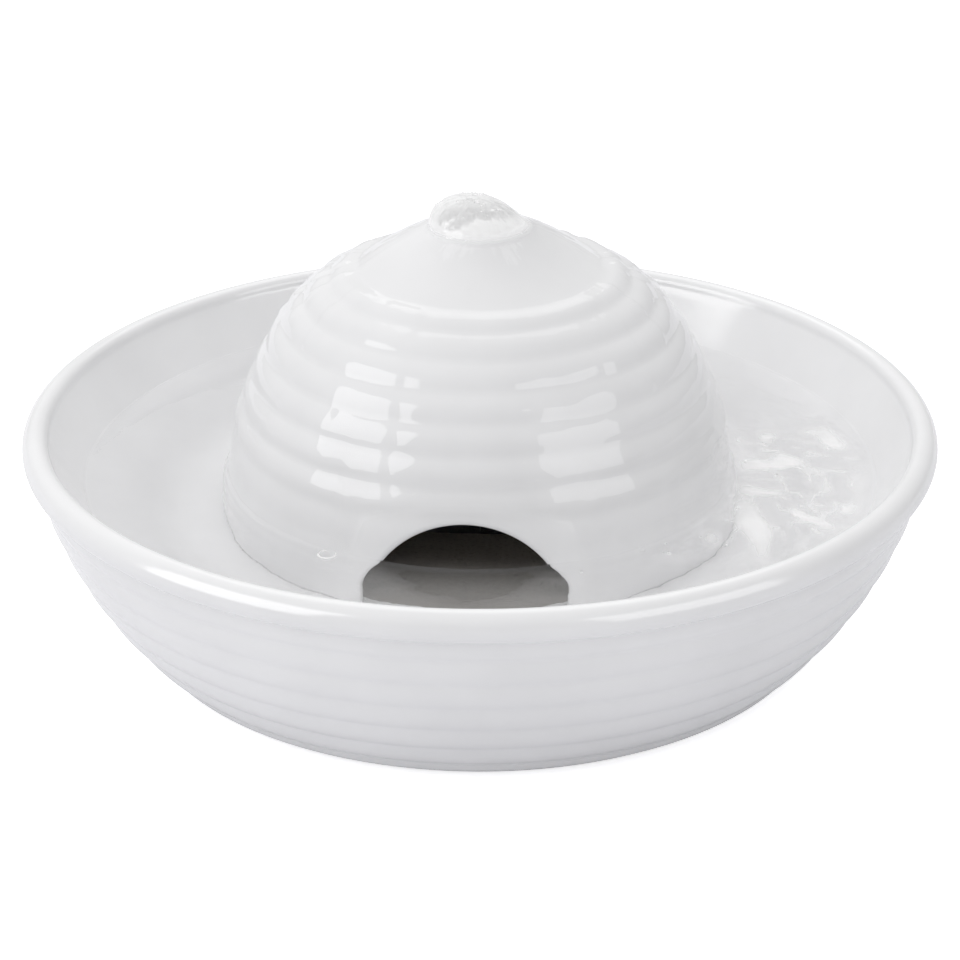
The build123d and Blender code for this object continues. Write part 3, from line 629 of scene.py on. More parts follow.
@cache
def running_water_tree() -> bpy.types.NodeTree:
    """Build, once, the tree that lays flowing water over a wetted skin.

    The skin is a thin film everywhere, with thicker sheets that have a rounded edge where "relief"
    is 1, ripples that cross the flow and fine streaks that follow it. It is stirred up where
    "lively" is 1.

    Returns:
        The tree.
    """
    tree, at = new_geometry_tree(
        "running_water",
        Float=(
            "Lift",
            "Film",
            "Sheet",
            "Sheet Width",
            "Sheet Length",
            "Ripple",
            "Ripple Length",
            "Stir",
            "Stir Length",
            "Seed",
        ),
        Material=("Water",),
    )
    # Noise levels between which a sheet's edge rises, and streaks across a sheet.
    edge_foot, edge_top = 0.485, 0.53
    streaks_across = 3.3
    relief, lively, wet = (
        add_node(tree, "GeometryNodeInputNamedAttribute", {"Name": name}, data_type="FLOAT").outputs[0]
        for name in ("relief", "lively", "wet")
    )
    position = add_node(tree, "GeometryNodeInputPosition").outputs[0]
    x, y, z = add_node(tree, "ShaderNodeSeparateXYZ", {0: position}).outputs
    wide, down, per_ripple, per_stir = (
        add_node(tree, "ShaderNodeMath", {0: size, 1: at[name]}, operation="DIVIDE").outputs[0]
        for size, name in (
            (DOME_RADIUS * MM, "Sheet Width"),
            (z, "Sheet Length"),
            (1.0, "Ripple Length"),
            (1.0, "Stir Length"),
        )
    )
    flat = add_node(tree, "ShaderNodeCombineXYZ", {0: x, 1: y, 2: 0.0}).outputs[0]
    spoke = add_node(tree, "ShaderNodeVectorMath", {0: flat}, operation="NORMALIZE").outputs[0]
    round_it = add_node(tree, "ShaderNodeVectorMath", {0: spoke, "Scale": wide}, operation="SCALE").outputs[0]
    drop = add_node(tree, "ShaderNodeCombineXYZ", {2: down}).outputs[0]
    flow = add_node(tree, "ShaderNodeVectorMath", {0: round_it, 1: drop}, operation="ADD").outputs[0]
    streak_space = add_node(
        tree, "ShaderNodeVectorMath", {0: flow, "Scale": streaks_across}, operation="SCALE"
    ).outputs[0]
    sheets, streaks, ripples, stirred = (
        add_node(
            tree, "ShaderNodeTexNoise", {"W": at["Seed"], **inputs}, noise_dimensions="4D"
        ).outputs[0]
        for inputs in (
            {"Vector": flow, "Scale": 1.0, "Detail": 2.0, "Distortion": 0.6},
            {"Vector": streak_space, "Scale": 1.0},
            {"Vector": position, "Scale": per_ripple, "Detail": 1.0},
            {"Vector": position, "Scale": per_stir, "Detail": 3.0, "Distortion": 0.8},
        )
    )
    sheet = add_node(
        tree,
        "ShaderNodeMapRange",
        {0: sheets, 1: edge_foot, 2: edge_top, 3: 0.0, 4: at["Sheet"]},
        interpolation_type="SMOOTHSTEP",
    ).outputs[0]
    sheet = add_node(tree, "ShaderNodeMath", {0: sheet, 1: relief}, operation="MULTIPLY").outputs[0]
    both = add_node(tree, "ShaderNodeMath", {0: streaks, 1: ripples}, operation="MULTIPLY").outputs[0]
    fine = add_node(tree, "ShaderNodeMath", {0: both, 1: at["Ripple"]}, operation="MULTIPLY").outputs[0]
    swing = add_node(tree, "ShaderNodeMath", {0: stirred, 1: -0.5}, operation="ADD").outputs[0]
    stir = add_node(tree, "ShaderNodeMath", {0: lively, 1: at["Stir"]}, operation="MULTIPLY").outputs[0]
    heave = add_node(tree, "ShaderNodeMath", {0: swing, 1: stir}, operation="MULTIPLY").outputs[0]
    rippled = at["Lift"]
    for part in (at["Film"], sheet, fine):
        rippled = add_node(tree, "ShaderNodeMath", {0: rippled, 1: part}, operation="ADD").outputs[0]
    covered = add_node(tree, "ShaderNodeMath", {0: rippled, 1: wet}, operation="MULTIPLY").outputs[0]
    rise = add_node(tree, "ShaderNodeMath", {0: covered, 1: heave}, operation="ADD").outputs[0]
    normal = add_node(tree, "GeometryNodeInputNormal").outputs[0]
    offset = add_node(tree, "ShaderNodeVectorMath", {0: normal, "Scale": rise}, operation="SCALE").outputs[0]
    moved = {"Geometry": at["Geometry"], "Offset": offset}
    raised = add_node(tree, "GeometryNodeSetPosition", moved).outputs[0]
    close_geometry_tree(tree, raised, (at["Water"], None))
    return tree


@cache
def bubble_tree() -> bpy.types.NodeTree:
    """Build, once, the tree that scatters small bubbles where "lively" is above "From".

    Returns:
        The tree.
    """
    tree, at = new_geometry_tree(
        "bubbles",
        Float=("Per Area", "From", "Smallest", "Largest"),
        Int=("Seed",),
        Material=("Water",),
    )
    lively = add_node(
        tree, "GeometryNodeInputNamedAttribute", {"Name": "lively"}, data_type="FLOAT"
    ).outputs[0]
    above = add_node(tree, "ShaderNodeMapRange", {0: lively, 1: at["From"], 2: 1.0}).outputs[0]
    crowd = {0: above, 1: at["Per Area"]}
    density = add_node(tree, "ShaderNodeMath", crowd, operation="MULTIPLY").outputs[0]
    spots = add_node(
        tree,
        "GeometryNodeDistributePointsOnFaces",
        {"Mesh": at["Geometry"], "Density": density, "Seed": at["Seed"]},
        distribute_method="RANDOM",
    )
    ball = add_node(tree, "GeometryNodeMeshIcoSphere", {"Radius": 1.0, "Subdivisions": 2}).outputs[0]
    size = add_node(
        tree,
        "FunctionNodeRandomValue",
        {2: at["Smallest"], 3: at["Largest"], "Seed": at["Seed"]},
        data_type="FLOAT",
    ).outputs[1]
    placed = add_node(
        tree,
        "GeometryNodeInstanceOnPoints",
        {"Points": spots.outputs[0], "Instance": ball, "Scale": size},
    ).outputs[0]
    solid = add_node(tree, "GeometryNodeRealizeInstances", {"Geometry": placed}).outputs[0]
    smooth = add_node(tree, "GeometryNodeSetShadeSmooth", {"Geometry": solid}).outputs[0]
    close_geometry_tree(tree, smooth, (at["Water"], None))
    return tree


@dataclass(frozen=True)
class ThrowingRings:
    """Throwing rings of one vessel.

    Attributes:
        height: Full height of a ring.
        softness: How much the glaze has softened the grooves, from 0.
        wander: How far the rings wander up and down, in rings.
        unevenness: How much their height varies.
        wander_length: Distance from one swing of the wandering to the next.
        seed: Of the wandering.
    """

    height: float
    softness: float
    wander: float
    unevenness: float
    wander_length: float
    seed: float

    def raise_on(
        self,
        piece: bpy.types.Object,
        glaze: bpy.types.Material,
        wetted: bpy.types.Material,
        clay: bpy.types.Material,
    ) -> None:
        """Raise the rings on a piece, and give it its glaze, wetted glaze, and bare clay that is also painted
        shade.
        """
        values = {
            "Ring Height": self.height * MM,
            "Groove Softness": self.softness,
            "Wander": self.wander,
            "Unevenness": self.unevenness,
            "Wander Length": self.wander_length * MM,
            "Seed": self.seed,
            "Glaze": glaze,
            "Wetted Glaze": wetted,
            "Bare Clay And Shade": clay,
        }
        run_tree(piece, throwing_ring_tree(), values)


@dataclass(frozen=True)
class Flow:
    """Face of moving water.

    Attributes:
        ripple: Height of the fine ripples and streaks.
        ripple_length: Distance from ripple to ripple.
        stir: Height of the heaving where the water is stirred up.
        stir_length: Distance from one heave to the next.
        seed: Of all of these.
        lift: How far a wetted face rises before the film starts.
        film: Thickness of the film.
        sheet: How much thicker its sheets are.
        sheet_width: Width of the sheets.
        sheet_length: Their length down the dome.
    """

    ripple: float
    ripple_length: float
    stir: float
    stir_length: float
    seed: float
    lift: float = 0.0
    film: float = 0.0
    sheet: float = 0.0
    sheet_width: float = 20.0
    sheet_length: float = 20.0

    def lay_on(self, piece: bpy.types.Object, water: bpy.types.Material) -> None:
        """Lay the moving face over a piece. Every value but the seed is a length."""
        values = {name.replace("_", " ").title(): value * MM for name, value in vars(self).items()}
        run_tree(piece, running_water_tree(), {**values, "Seed": self.seed, "Water": water})


@dataclass(frozen=True)
class Froth:
    """Small bubbles scattered where water is lively.

    Attributes:
        per_area: How many lie on a square metre where it is most lively.
        start: How lively it is where the first ones lie.
        smallest: Radius of the smallest.
        largest: Radius of the largest.
        seed: Of their places and sizes.
    """

    per_area: float
    start: float
    smallest: float
    largest: float
    seed: int

    def scatter(self, name: str, piece: bpy.types.Object, water: bpy.types.Material) -> bpy.types.Object:
        """Scatter the bubbles over a piece and return them as a piece of their own."""
        froth = put_in_scene(name, piece.data.copy())
        values = {
            "Per Area": self.per_area,
            "From": self.start,
            "Smallest": self.smallest * MM,
            "Largest": self.largest * MM,
            "Seed": self.seed,
            "Water": water,
        }
        run_tree(froth, bubble_tree(), values)
        return froth


# ---- finishes


class Surface:
    """A material on its way: its node tree, its shader, and patterns laid on the object at real sizes."""

    def __init__(self, name: str, **inputs: SocketValue) -> None:
        """Start a material.

        Args:
            name: Name of the material.
            inputs: Inputs of its Principled shader, with underscores for spaces.
        """
        self.material = bpy.data.materials.new(name)
        self.material.use_nodes = True
        self.tree = self.material.node_tree
        self.shader = self.tree.nodes["Principled BSDF"]
        for key, value in inputs.items():
            self.shader.inputs[key.replace("_", " ")].default_value = value

    def pattern(
        self, kind: str, size: float, detail: float | None = None, **settings: object
    ) -> bpy.types.Node:
        """Lay a texture over the object.

        Args:
            kind: Type name of the texture's node.
            size: Size of its grain or cells on the object.
            detail: How many finer layers it has, for textures that have any.
            settings: Properties of the node.

        Returns:
            The node.
        """
        place = add_node(self.tree, "ShaderNodeTexCoord").outputs["Object"]
        inputs = {"Vector": place, "Scale": 1 / (size * MM)}
        if detail is not None:
            inputs["Detail"] = detail
        return add_node(self.tree, kind, inputs, **settings)

    def tint(self, share: bpy.types.NodeSocket, low: str, high: str, rise: Rise | None = None) -> None:
        """Colour the surface by a pattern.

        Args:
            share: The pattern.
            low: Colour where it is 0, in sRGB hex.
            high: Colour where it is 1.
            rise: Pattern values that stand for 0 and 1, if they are others.
        """
        if rise:
            share = add_node(self.tree, "ShaderNodeMapRange", {0: share, 1: rise[0], 2: rise[1]}).outputs[0]
        inputs = {0: share, 6: linear(low), 7: linear(high)}
        colour = add_node(self.tree, "ShaderNodeMix", inputs, data_type="RGBA").outputs[2]
        self.tree.links.new(colour, self.shader.inputs["Base Color"])

    def emboss(self, height: bpy.types.NodeSocket, depth: float) -> None:
        """Give the surface the relief of a pattern, at a depth in millimetres."""
        inputs = {"Height": height, "Distance": depth * MM, "Strength": 1.0}
        bump = add_node(self.tree, "ShaderNodeBump", inputs).outputs[0]
        self.tree.links.new(bump, self.shader.inputs["Normal"])

    def let_light_through(self) -> None:
        """Make the surface transparent to shadow rays and to bounced light."""
        path = add_node(self.tree, "ShaderNodeLightPath").outputs
        rays = {0: path["Is Shadow Ray"], 1: path["Is Diffuse Ray"]}
        straight = add_node(self.tree, "ShaderNodeMath", rays, operation="MAXIMUM").outputs[0]
        nothing = add_node(self.tree, "ShaderNodeBsdfTransparent").outputs[0]
        shaders = {0: straight, 1: self.shader.outputs[0], 2: nothing}
        mixed = add_node(self.tree, "ShaderNodeMixShader", shaders).outputs[0]
        self.tree.links.new(mixed, self.tree.nodes["Material Output"].inputs["Surface"])


@dataclass(frozen=True)
class StonewareGlaze:
    """Opaque white glaze on stoneware, fired glossy: a deep clean gloss over faint clouding.

    Attributes:
        name: Name of the material.
        colour: The glaze.
        cloud: Where it lies thinner over the clay.
        roughness: Of the fired surface.
        cloud_size: Size of the clouding.
        cloud_rise: Noise levels where a cloud starts and is full.
        peel_size: Width of the faint dimples that fired glaze has.
        peel_depth: Their depth.
        ior: Refractive index against what lies on it, air or water.
    """

    name: str = "glossy_white_stoneware_glaze"
    colour: str = "F1F1F2"
    cloud: str = "ECECED"
    roughness: float = 0.14
    cloud_size: float = 38.0
    cloud_rise: Rise = (0.35, 0.7)
    peel_size: float = 7.0
    peel_depth: float = 0.05
    ior: float = GLAZE_IOR

    def wetted(self) -> "StonewareGlaze":
        """The same glaze under water: it mirrors hardly anything, and the water keeps some light in."""
        return replace(
            self, name=f"wetted_{self.name}", colour="EEEEEF", cloud="E9E9EA", ior=GLAZE_IOR / WATER_IOR
        )

    def to_material(self) -> bpy.types.Material:
        """Build the material."""
        surface = Surface(self.name, Roughness=self.roughness, IOR=self.ior)
        clouds = surface.pattern("ShaderNodeTexNoise", self.cloud_size, detail=3.0).outputs[0]
        surface.tint(clouds, self.colour, self.cloud, self.cloud_rise)
        peel = surface.pattern("ShaderNodeTexNoise", self.peel_size, detail=1.0).outputs[0]
        surface.emboss(peel, self.peel_depth)
        return surface.material


@dataclass(frozen=True)
class BareStonewareAndShade:
    """Fired stoneware without glaze, where the ware stood in the kiln: matt, sandy, grey-brown.

    Inside the dome and on the bowl's floor under it, its dark colour is painted shade.

    Attributes:
        name: Name of the material.
        colour: The clay; dark enough to be the painted shade inside the dome.
        grit: Its darker grains.
        grit_size: Size of the grains, drawn coarse enough to show.
        grit_rise: Noise levels where a grain starts and is full.
        grit_depth: Depth of the sandy relief.
    """

    name: str = "bare_stoneware_and_painted_shade"
    # Dark, as painted shade inside the dome and on the floor under it.
    colour: str = "777067"
    grit: str = "5F5850"
    grit_size: float = 1.1
    grit_rise: Rise = (0.5, 0.72)
    grit_depth: float = 0.12

    def to_material(self) -> bpy.types.Material:
        """Build the material."""
        surface = Surface(self.name, Roughness=0.85, IOR=1.5)
        grains = surface.pattern("ShaderNodeTexNoise", self.grit_size, detail=3.0).outputs[0]
        surface.tint(grains, self.colour, self.grit, self.grit_rise)
        surface.emboss(grains, self.grit_depth)
        return surface.material


@dataclass(frozen=True)
class ClearLiquid:
    """Clear water: bends what lies behind it and mirrors the lamps in every ripple.

    It is white where it is milky: from fine air bubbles, and from painted light on the pool and the
    large bubble's ring. Lamps and bounced light pass straight through, so what lies under it stays lit.

    Attributes:
        name: Name of the material.
        ripple_size: Width of the finest ripples.
        ripple_depth: Their depth.
    """

    name: str = "clear_water"
    ripple_size: float = 5.0
    ripple_depth: float = 0.05

    def to_material(self) -> bpy.types.Material:
        """Build the material."""
        surface = Surface(self.name, Base_Color=linear("FFFFFF"), Roughness=0.0, IOR=WATER_IOR)
        # Milky white: air bubbles, and painted light on the pool.
        milky = add_node(surface.tree, "ShaderNodeAttribute", attribute_name="milky").outputs["Fac"]
        clear = add_node(surface.tree, "ShaderNodeMath", {0: 1.0, 1: milky}, operation="SUBTRACT").outputs[0]
        surface.tree.links.new(clear, surface.shader.inputs["Transmission Weight"])
        ripples = surface.pattern("ShaderNodeTexNoise", self.ripple_size, detail=2.0).outputs[0]
        surface.emboss(ripples, self.ripple_depth)
        surface.let_light_through()
        return surface.material


@dataclass(frozen=True)
class MouldedPart:
    """Moulded plastic or rubber: one colour with a fine even grain from the mould.

    Attributes:
        name: Name of the material.
        colour: Main colour.
        shade: Colour of its faint mottling.
        roughness: Of the surface.
        ior: Of the material.
        grain_size: Size of the mould's grain, drawn coarse enough to show.
        grain_depth: Depth of the grain.
        clear: Share of light that passes, for clear and milky kinds.
    """

    name: str
    colour: str
    shade: str
    roughness: float
    ior: float = 1.5
    grain_size: float = 0.6
    grain_depth: float = 0.02
    clear: float = 0.0

    def to_material(self) -> bpy.types.Material:
        """Build the material."""
        surface = Surface(self.name, Roughness=self.roughness, IOR=self.ior, Transmission_Weight=self.clear)
        grain = surface.pattern("ShaderNodeTexNoise", self.grain_size, detail=2.0).outputs[0]
        surface.tint(grain, self.colour, self.shade)
        surface.emboss(grain, self.grain_depth)
        if self.clear:
            surface.let_light_through()
        return surface.material


@dataclass(frozen=True)
class LinedMetal:
    """Metal with even lines across it: stacked laminations or a layer of wound wire.

    Attributes:
        name: Name of the material.
        colour: The metal.
        gap: Colour in the lines.
        roughness: Of the metal.
        pitch: Distance from line to line.
        direction: Axis the lines follow one another along: X, Y or Z.
    """

    name: str
    colour: str
    gap: str
    roughness: float
    pitch: float
    direction: str

    def to_material(self) -> bpy.types.Material:
        """Build the material. A wave texture repeats ten times in pi of its own units."""
        surface = Surface(self.name, Roughness=self.roughness, Metallic=1.0)
        waves = surface.pattern(
            "ShaderNodeTexWave", self.pitch * 10 / math.pi, wave_type="BANDS", bands_direction=self.direction
        ).outputs["Fac"]
        surface.tint(waves, self.gap, self.colour)
        surface.emboss(waves, self.pitch / 4)
        return surface.material


@dataclass(frozen=True)
class OpenFoam:
    """Reticulated polyurethane foam, cut from a block: matt, with painted shade in its pores.

    Attributes:
        name: Name of the material.
        colour: The foam's webs.
        pore: Painted shade inside the pores.
        pore_size: Distance between pores.
        pore_depth: Depth of the pores.
    """

    name: str = "black_open_cell_foam"
    colour: str = "2B2C2E"
    # Painted shade in the pores.
    pore: str = "060607"
    pore_size: float = 1.4
    pore_depth: float = 0.8

    def to_material(self) -> bpy.types.Material:
        """Build the material."""
        surface = Surface(self.name, Roughness=0.95, IOR=1.45)
        cells = surface.pattern("ShaderNodeTexVoronoi", self.pore_size).outputs["Distance"]
        surface.tint(cells, self.pore, self.colour)
        surface.emboss(cells, self.pore_depth)
        return surface.material


# ---- stoneware


@dataclass
class Bowl:
    """Wide thrown bowl with rings outside, a beaded lip and a hollow foot.

    Where the dome and the pump stand, the floor has dark bare clay: painted shade under the dome.

    Attributes are in millimetres and follow the solid's own sizes.
    """

    foot_radius: float = 101.0
    foot_width: float = 11.0
    foot_round: float = 1.4
    foot_chamfer: float = 1.0
    belly: float = 5.2
    floor_radius: float = 97.0
    floor_height: float = 22.0
    floor_thickness: float = 8.0
    cove: float = 16.0
    hollow: float = 0.8
    # Radius of the dark bare clay on the floor: painted shade under the dome.
    bare_radius: float = 74.0
    recess_chamfer: float = 4.0
    collar: Spot = (136.0, 59.7)
    lip_bead: float = 4.7
    lip_roll: float = 3.2
    lip_fillet: float = 4.0
    ring_start: float = 5.3
    ring_pitch: float = 9.45
    ring_count: int = 5
    ring_rise: Rise = (0.0, 3.0)
    rings: ThrowingRings = ThrowingRings(
        height=0.8, softness=0.16, wander=0.22, unevenness=0.5, wander_length=90, seed=3.0
    )
    fine: float = 0.75
    coarse: float = 2.5
    rim_radius: float = field(init=False)
    height: float = field(init=False)
    piece: bpy.types.Object = field(init=False)

    def __post_init__(self) -> None:
        """Take the rim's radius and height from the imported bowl."""
        low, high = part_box("bowl")
        self.rim_radius = round(high.x / MM, 1)
        self.height = round(high.z / MM, 1)

    def inner_wall(self) -> tuple[complex, float]:
        """Centre and radius of the circle that the inner wall follows, in radius and height."""
        top = complex(self.rim_radius - self.lip_bead - self.lip_roll, self.height - self.lip_roll)
        foot = complex(self.floor_radius, self.floor_height)
        run = foot - top
        radius = abs(run) ** 2 / (8 * self.hollow) + self.hollow / 2
        return (top + foot) / 2 - 1j * run / abs(run) * (radius - self.hollow), radius

    def inside_radius(self, height: float, sunk: float = 0.0) -> float:
        """Radius of the inner wall at a height, or of a face sunk into it."""
        centre, radius = self.inner_wall()
        return centre.real + math.sqrt((radius + sunk) ** 2 - (height - centre.imag) ** 2)

    def contour(self) -> list[Station]:
        """Stations from the middle of the underside, round the wall, to the middle of the floor."""
        recess = self.floor_height - self.floor_thickness
        foot_inside = self.foot_radius - self.foot_width
        chamfer = self.recess_chamfer
        foot = (self.foot_radius - self.foot_round, 0.0)
        under = [(0.0, recess)]
        under += line(under[-1], (foot_inside - chamfer, recess), self.coarse * 4)
        under += line(under[-1], (foot_inside, recess - chamfer), self.coarse)
        under += line(under[-1], (foot_inside, self.foot_chamfer), self.coarse)
        under += line(under[-1], (foot_inside + self.foot_chamfer, 0.0), self.coarse)
        stations = [Station(*p) for p in under[:-1]]
        stations.append(Station(*under[-1], bare=True))

        start = (self.foot_radius, 0.0)
        outside = [foot, *arc(start, bowed(start, self.collar, self.belly), self.collar, self.fine)]
        grooves = [0.0] + [self.ring_start + self.ring_pitch * k for k in range(self.ring_count + 1)]
        grooves.append(self.collar[1])
        for r, z in outside:
            ring = float(np.interp(z, grooves, range(-1, len(grooves) - 1)))
            stations.append(Station(r, z, ring=ring, relief=smooth_step(*self.ring_rise, z)))

        top = (self.rim_radius - self.lip_bead, self.height)
        bead = arc(self.collar, (self.rim_radius, self.height - self.lip_bead), top, self.fine)
        roll_middle = complex(top[0], top[1] - self.lip_roll)
        wall_middle, wall_radius = self.inner_wall()
        reach, far = self.lip_roll + self.lip_fillet, wall_radius - self.lip_fillet
        apart = abs(wall_middle - roll_middle)
        along = (apart**2 + reach**2 - far**2) / (2 * apart)
        way = (wall_middle - roll_middle) / apart
        fillet_middle = roll_middle + way * (along + 1j * math.sqrt(reach**2 - along**2))
        roll_end = roll_middle + (fillet_middle - roll_middle) / reach * self.lip_roll
        wall_top = wall_middle + (fillet_middle - wall_middle) / far * wall_radius
        roll = arc_about(roll_middle, complex(*top), roll_end, self.fine)
        roll += arc_about(fillet_middle, roll_end, wall_top, self.fine)
        stations += [Station(*p) for p in [*bead, *roll]]
        # Inside that radius the floor gets the dark bare clay, which is painted shade under the dome.
        for r, z in self.inside(roll[-1]):
            stations.append(Station(r, z, wet=float(z < WATER_LEVEL), bare=r <= self.bare_radius))
        return stations

    def inside(self, start: Spot, sunk: float = 0.0) -> list[Spot]:
        """Points down the inner wall, round the cove and over the floor to its middle.

        Args:
            start: Where on the inner wall they start; it isn't repeated.
            sunk: How far into the clay the points lie.

        Returns:
            The points, in order.
        """
        centre, radius = self.inner_wall()
        floor_height = self.floor_height - sunk
        reach = radius + sunk - self.cove
        rise = floor_height + self.cove - centre.imag
        cove_middle = centre + math.sqrt(reach**2 - rise**2) + 1j * rise
        top = centre + (cove_middle - centre) / reach * (radius + sunk)
        points = arc_about(centre, complex(*start), top, self.coarse)
        points += arc_about(cove_middle, top, cove_middle - 1j * self.cove, self.coarse)
        points += line(points[-1], (self.bare_radius, floor_height), self.coarse * 2)
        return points + line(points[-1], (0.0, floor_height), self.coarse * 2)

    def build(self) -> None:
        """Turn the bowl's wall."""
        self.piece = TurnedWall(self.contour(), WALL_COLUMNS).to_draft().to_object("stoneware_bowl")

    def dress(self, glaze: StonewareGlaze, clay: bpy.types.Material) -> None:
        """Raise the rings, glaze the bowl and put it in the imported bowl's place."""
        self.rings.raise_on(self.piece, glaze.to_material(), glaze.wetted().to_material(), clay)
        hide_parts("bowl")
        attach(self.piece, Body.BASE.value)


@dataclass
class Dome:
    """Thrown dome with rings, a necked outlet, a drinking arch and a notch for the cable.

    Attributes are in millimetres and follow the solid's own sizes. Heights count from the foot.
    """

    radius: float = DOME_RADIUS
    crown: float = 99.4
    fullness: float = 2.1
    squareness: float = 3.213
    wall: float = 6.0
    plain_band: float = 44.4
    ring_pitch: float = 9.5
    ring_count: int = 7
    ring_rise: Rise = (-1.5, 3.0)
    rings: ThrowingRings = ThrowingRings(
        height=0.85, softness=0.2, wander=0.25, unevenness=0.7, wander_length=70, seed=8.0
    )
    neck_radius: float = 16.2
    neck_height: float = 107.6
    neck_lip: float = 1.9
    neck_flare: float = 1.4
    neck_bore: float = 9.8
    arch_half_width: float = 30.0
    arch_height: float = 43.4
    arch_spring: float = 11.2
    arch_round: float = 2.4
    notch_half_width: float = 6.0
    notch_height: float = 10.0
    notch_round: float = 0.8
    spot_radius: float = 13.8
    spot_depth: float = 0.5
    faint_rings: float = 0.3
    faint_rise: Rise = (8.0, 30.0)
    fine: float = 1.2
    coarse: float = 3.0
    foot: float = field(init=False)
    piece: bpy.types.Object = field(init=False)

    def __post_init__(self) -> None:
        """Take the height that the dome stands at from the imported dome."""
        self.foot = round(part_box("dome")[0].z / MM, 1)

    def side(self, inset: float) -> tuple[np.ndarray, np.ndarray, np.ndarray]:
        """Radius, height and length travelled along the side, drawn in by inset, from foot to crown."""
        rise = np.sin(np.linspace(0, math.pi / 2, SIDE_SAMPLES))
        radius = (self.radius - inset) * np.maximum(0, 1 - rise**self.fullness) ** (1 / self.squareness)
        height = (self.crown - inset) * rise + self.foot
        return radius, height, travelled_along(radius, height)

    def outer(self, sunk: float = 0.0, filled: float = 0.0) -> list[Station]:
        """Stations of the outer face, from the foot to the neck's edge.

        Args:
            sunk: How far into the clay they lie.
            filled: How much of the hollow below the neck is filled up.

        Returns:
            The stations, all wetted.
        """
        radius, height, travelled = self.side(0.0)
        end = self.plain_band + self.ring_pitch * self.ring_count
        stops = np.linspace(0, end, math.ceil(end / self.fine) + 1)
        points = [tuple(float(np.interp(s, travelled, c)) for c in (radius, height)) for s in stops]
        edge = (self.neck_radius, self.foot + self.neck_height)
        flare = arc(points[-1], bowed(points[-1], edge, filled - self.neck_flare), edge, self.fine)
        stations = []
        for s, (r, z) in zip(stops, points):
            above = float(s - self.plain_band)
            faint = self.faint_rings * smooth_step(*self.faint_rise, s)
            relief = faint + (1 - faint) * smooth_step(*self.ring_rise, above)
            relief *= 1 - smooth_step(end - self.ring_pitch / 2, end, s)
            ring = above / self.ring_pitch
            stations.append(Station(r, z, ring=ring, relief=relief, wet=1.0))
        stations += [Station(*p, wet=1.0) for p in flare]
        if not sunk:
            return stations
        sunken = []
        for k, station in enumerate(stations):
            before, after = stations[max(k - 1, 0)], stations[min(k + 1, len(stations) - 1)]
            run = complex(after.radius - before.radius, after.height - before.height)
            out = -1j * run / abs(run) if k else 1
            spot = complex(station.radius, station.height) - out * sunk
            sunken.append(replace(station, radius=spot.real, height=spot.imag))
        return sunken

    def openings(self) -> tuple[Opening, Opening]:
        """The drinking arch in front and the cable's notch at the back."""
        arch = Opening(
            azimuth=-90.0,
            half_width=self.arch_half_width,
            foot=self.foot,
            spring=self.foot + self.arch_spring,
            top=self.foot + self.arch_height,
            rounding=self.arch_round,
        )
        notch = Opening(
            azimuth=90.0,
            half_width=self.notch_half_width,
            foot=self.foot,
            spring=self.foot + self.notch_height - self.notch_half_width,
            top=self.foot + self.notch_height,
            rounding=self.notch_round,
            reach=4.0,
            steps=4,
        )
        return arch, notch

    def contour(self) -> list[Station]:
        """The closed contour: up the outer face, over the neck, and down the inner face."""
        outer = self.outer()
        rim = (self.neck_radius, self.foot + self.neck_height)
        bore_top = (self.neck_bore, rim[1])
        ceiling = self.foot + self.crown - self.wall + self.spot_depth
        lip = arc(rim, bowed(rim, bore_top, self.neck_lip), bore_top, self.fine / 2)
        bore = line(bore_top, (self.neck_bore, ceiling), self.coarse)
        bore += line(bore[-1], (self.spot_radius, ceiling), self.coarse)
        radius, height, travelled = self.side(self.wall)
        arch = self.openings()[0]
        matched_top = arch.top + arch.rounding + arch.reach
        matched = [s for s in outer if s.height < matched_top + 2 * self.fine]
        low = np.interp(matched[-1].height, height, travelled)
        high = np.interp(-self.spot_radius, -radius, travelled)
        stops = np.linspace(low, high, math.ceil((high - low) / self.coarse) + 1)[1:]
        over = [tuple(float(np.interp(s, travelled, c)) for c in (radius, height)) for s in stops]
        # The whole inner face gets the dark bare clay, which is painted shade inside the dome.
        inner = [Station(float(np.interp(s.height, height, radius)), s.height, bare=True) for s in matched]
        climbing = [*inner, *[Station(*p, bare=True) for p in over]]
        return [*outer, *[Station(*p, wet=1.0) for p in [*lip, *bore]], *reversed(climbing)]

    def build(self) -> None:
        """Turn the dome's wall with its openings."""
        wall = TurnedWall(self.contour(), WALL_COLUMNS, self.openings())
        self.piece = wall.to_draft().to_object("stoneware_dome")

    def dress(self, glaze: StonewareGlaze, clay: bpy.types.Material) -> None:
        """Raise the rings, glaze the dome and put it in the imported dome's place."""
        self.rings.raise_on(self.piece, glaze.to_material(), glaze.wetted().to_material(), clay)
        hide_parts("dome")
        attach(self.piece, Body.DOME.value)


# ---- water


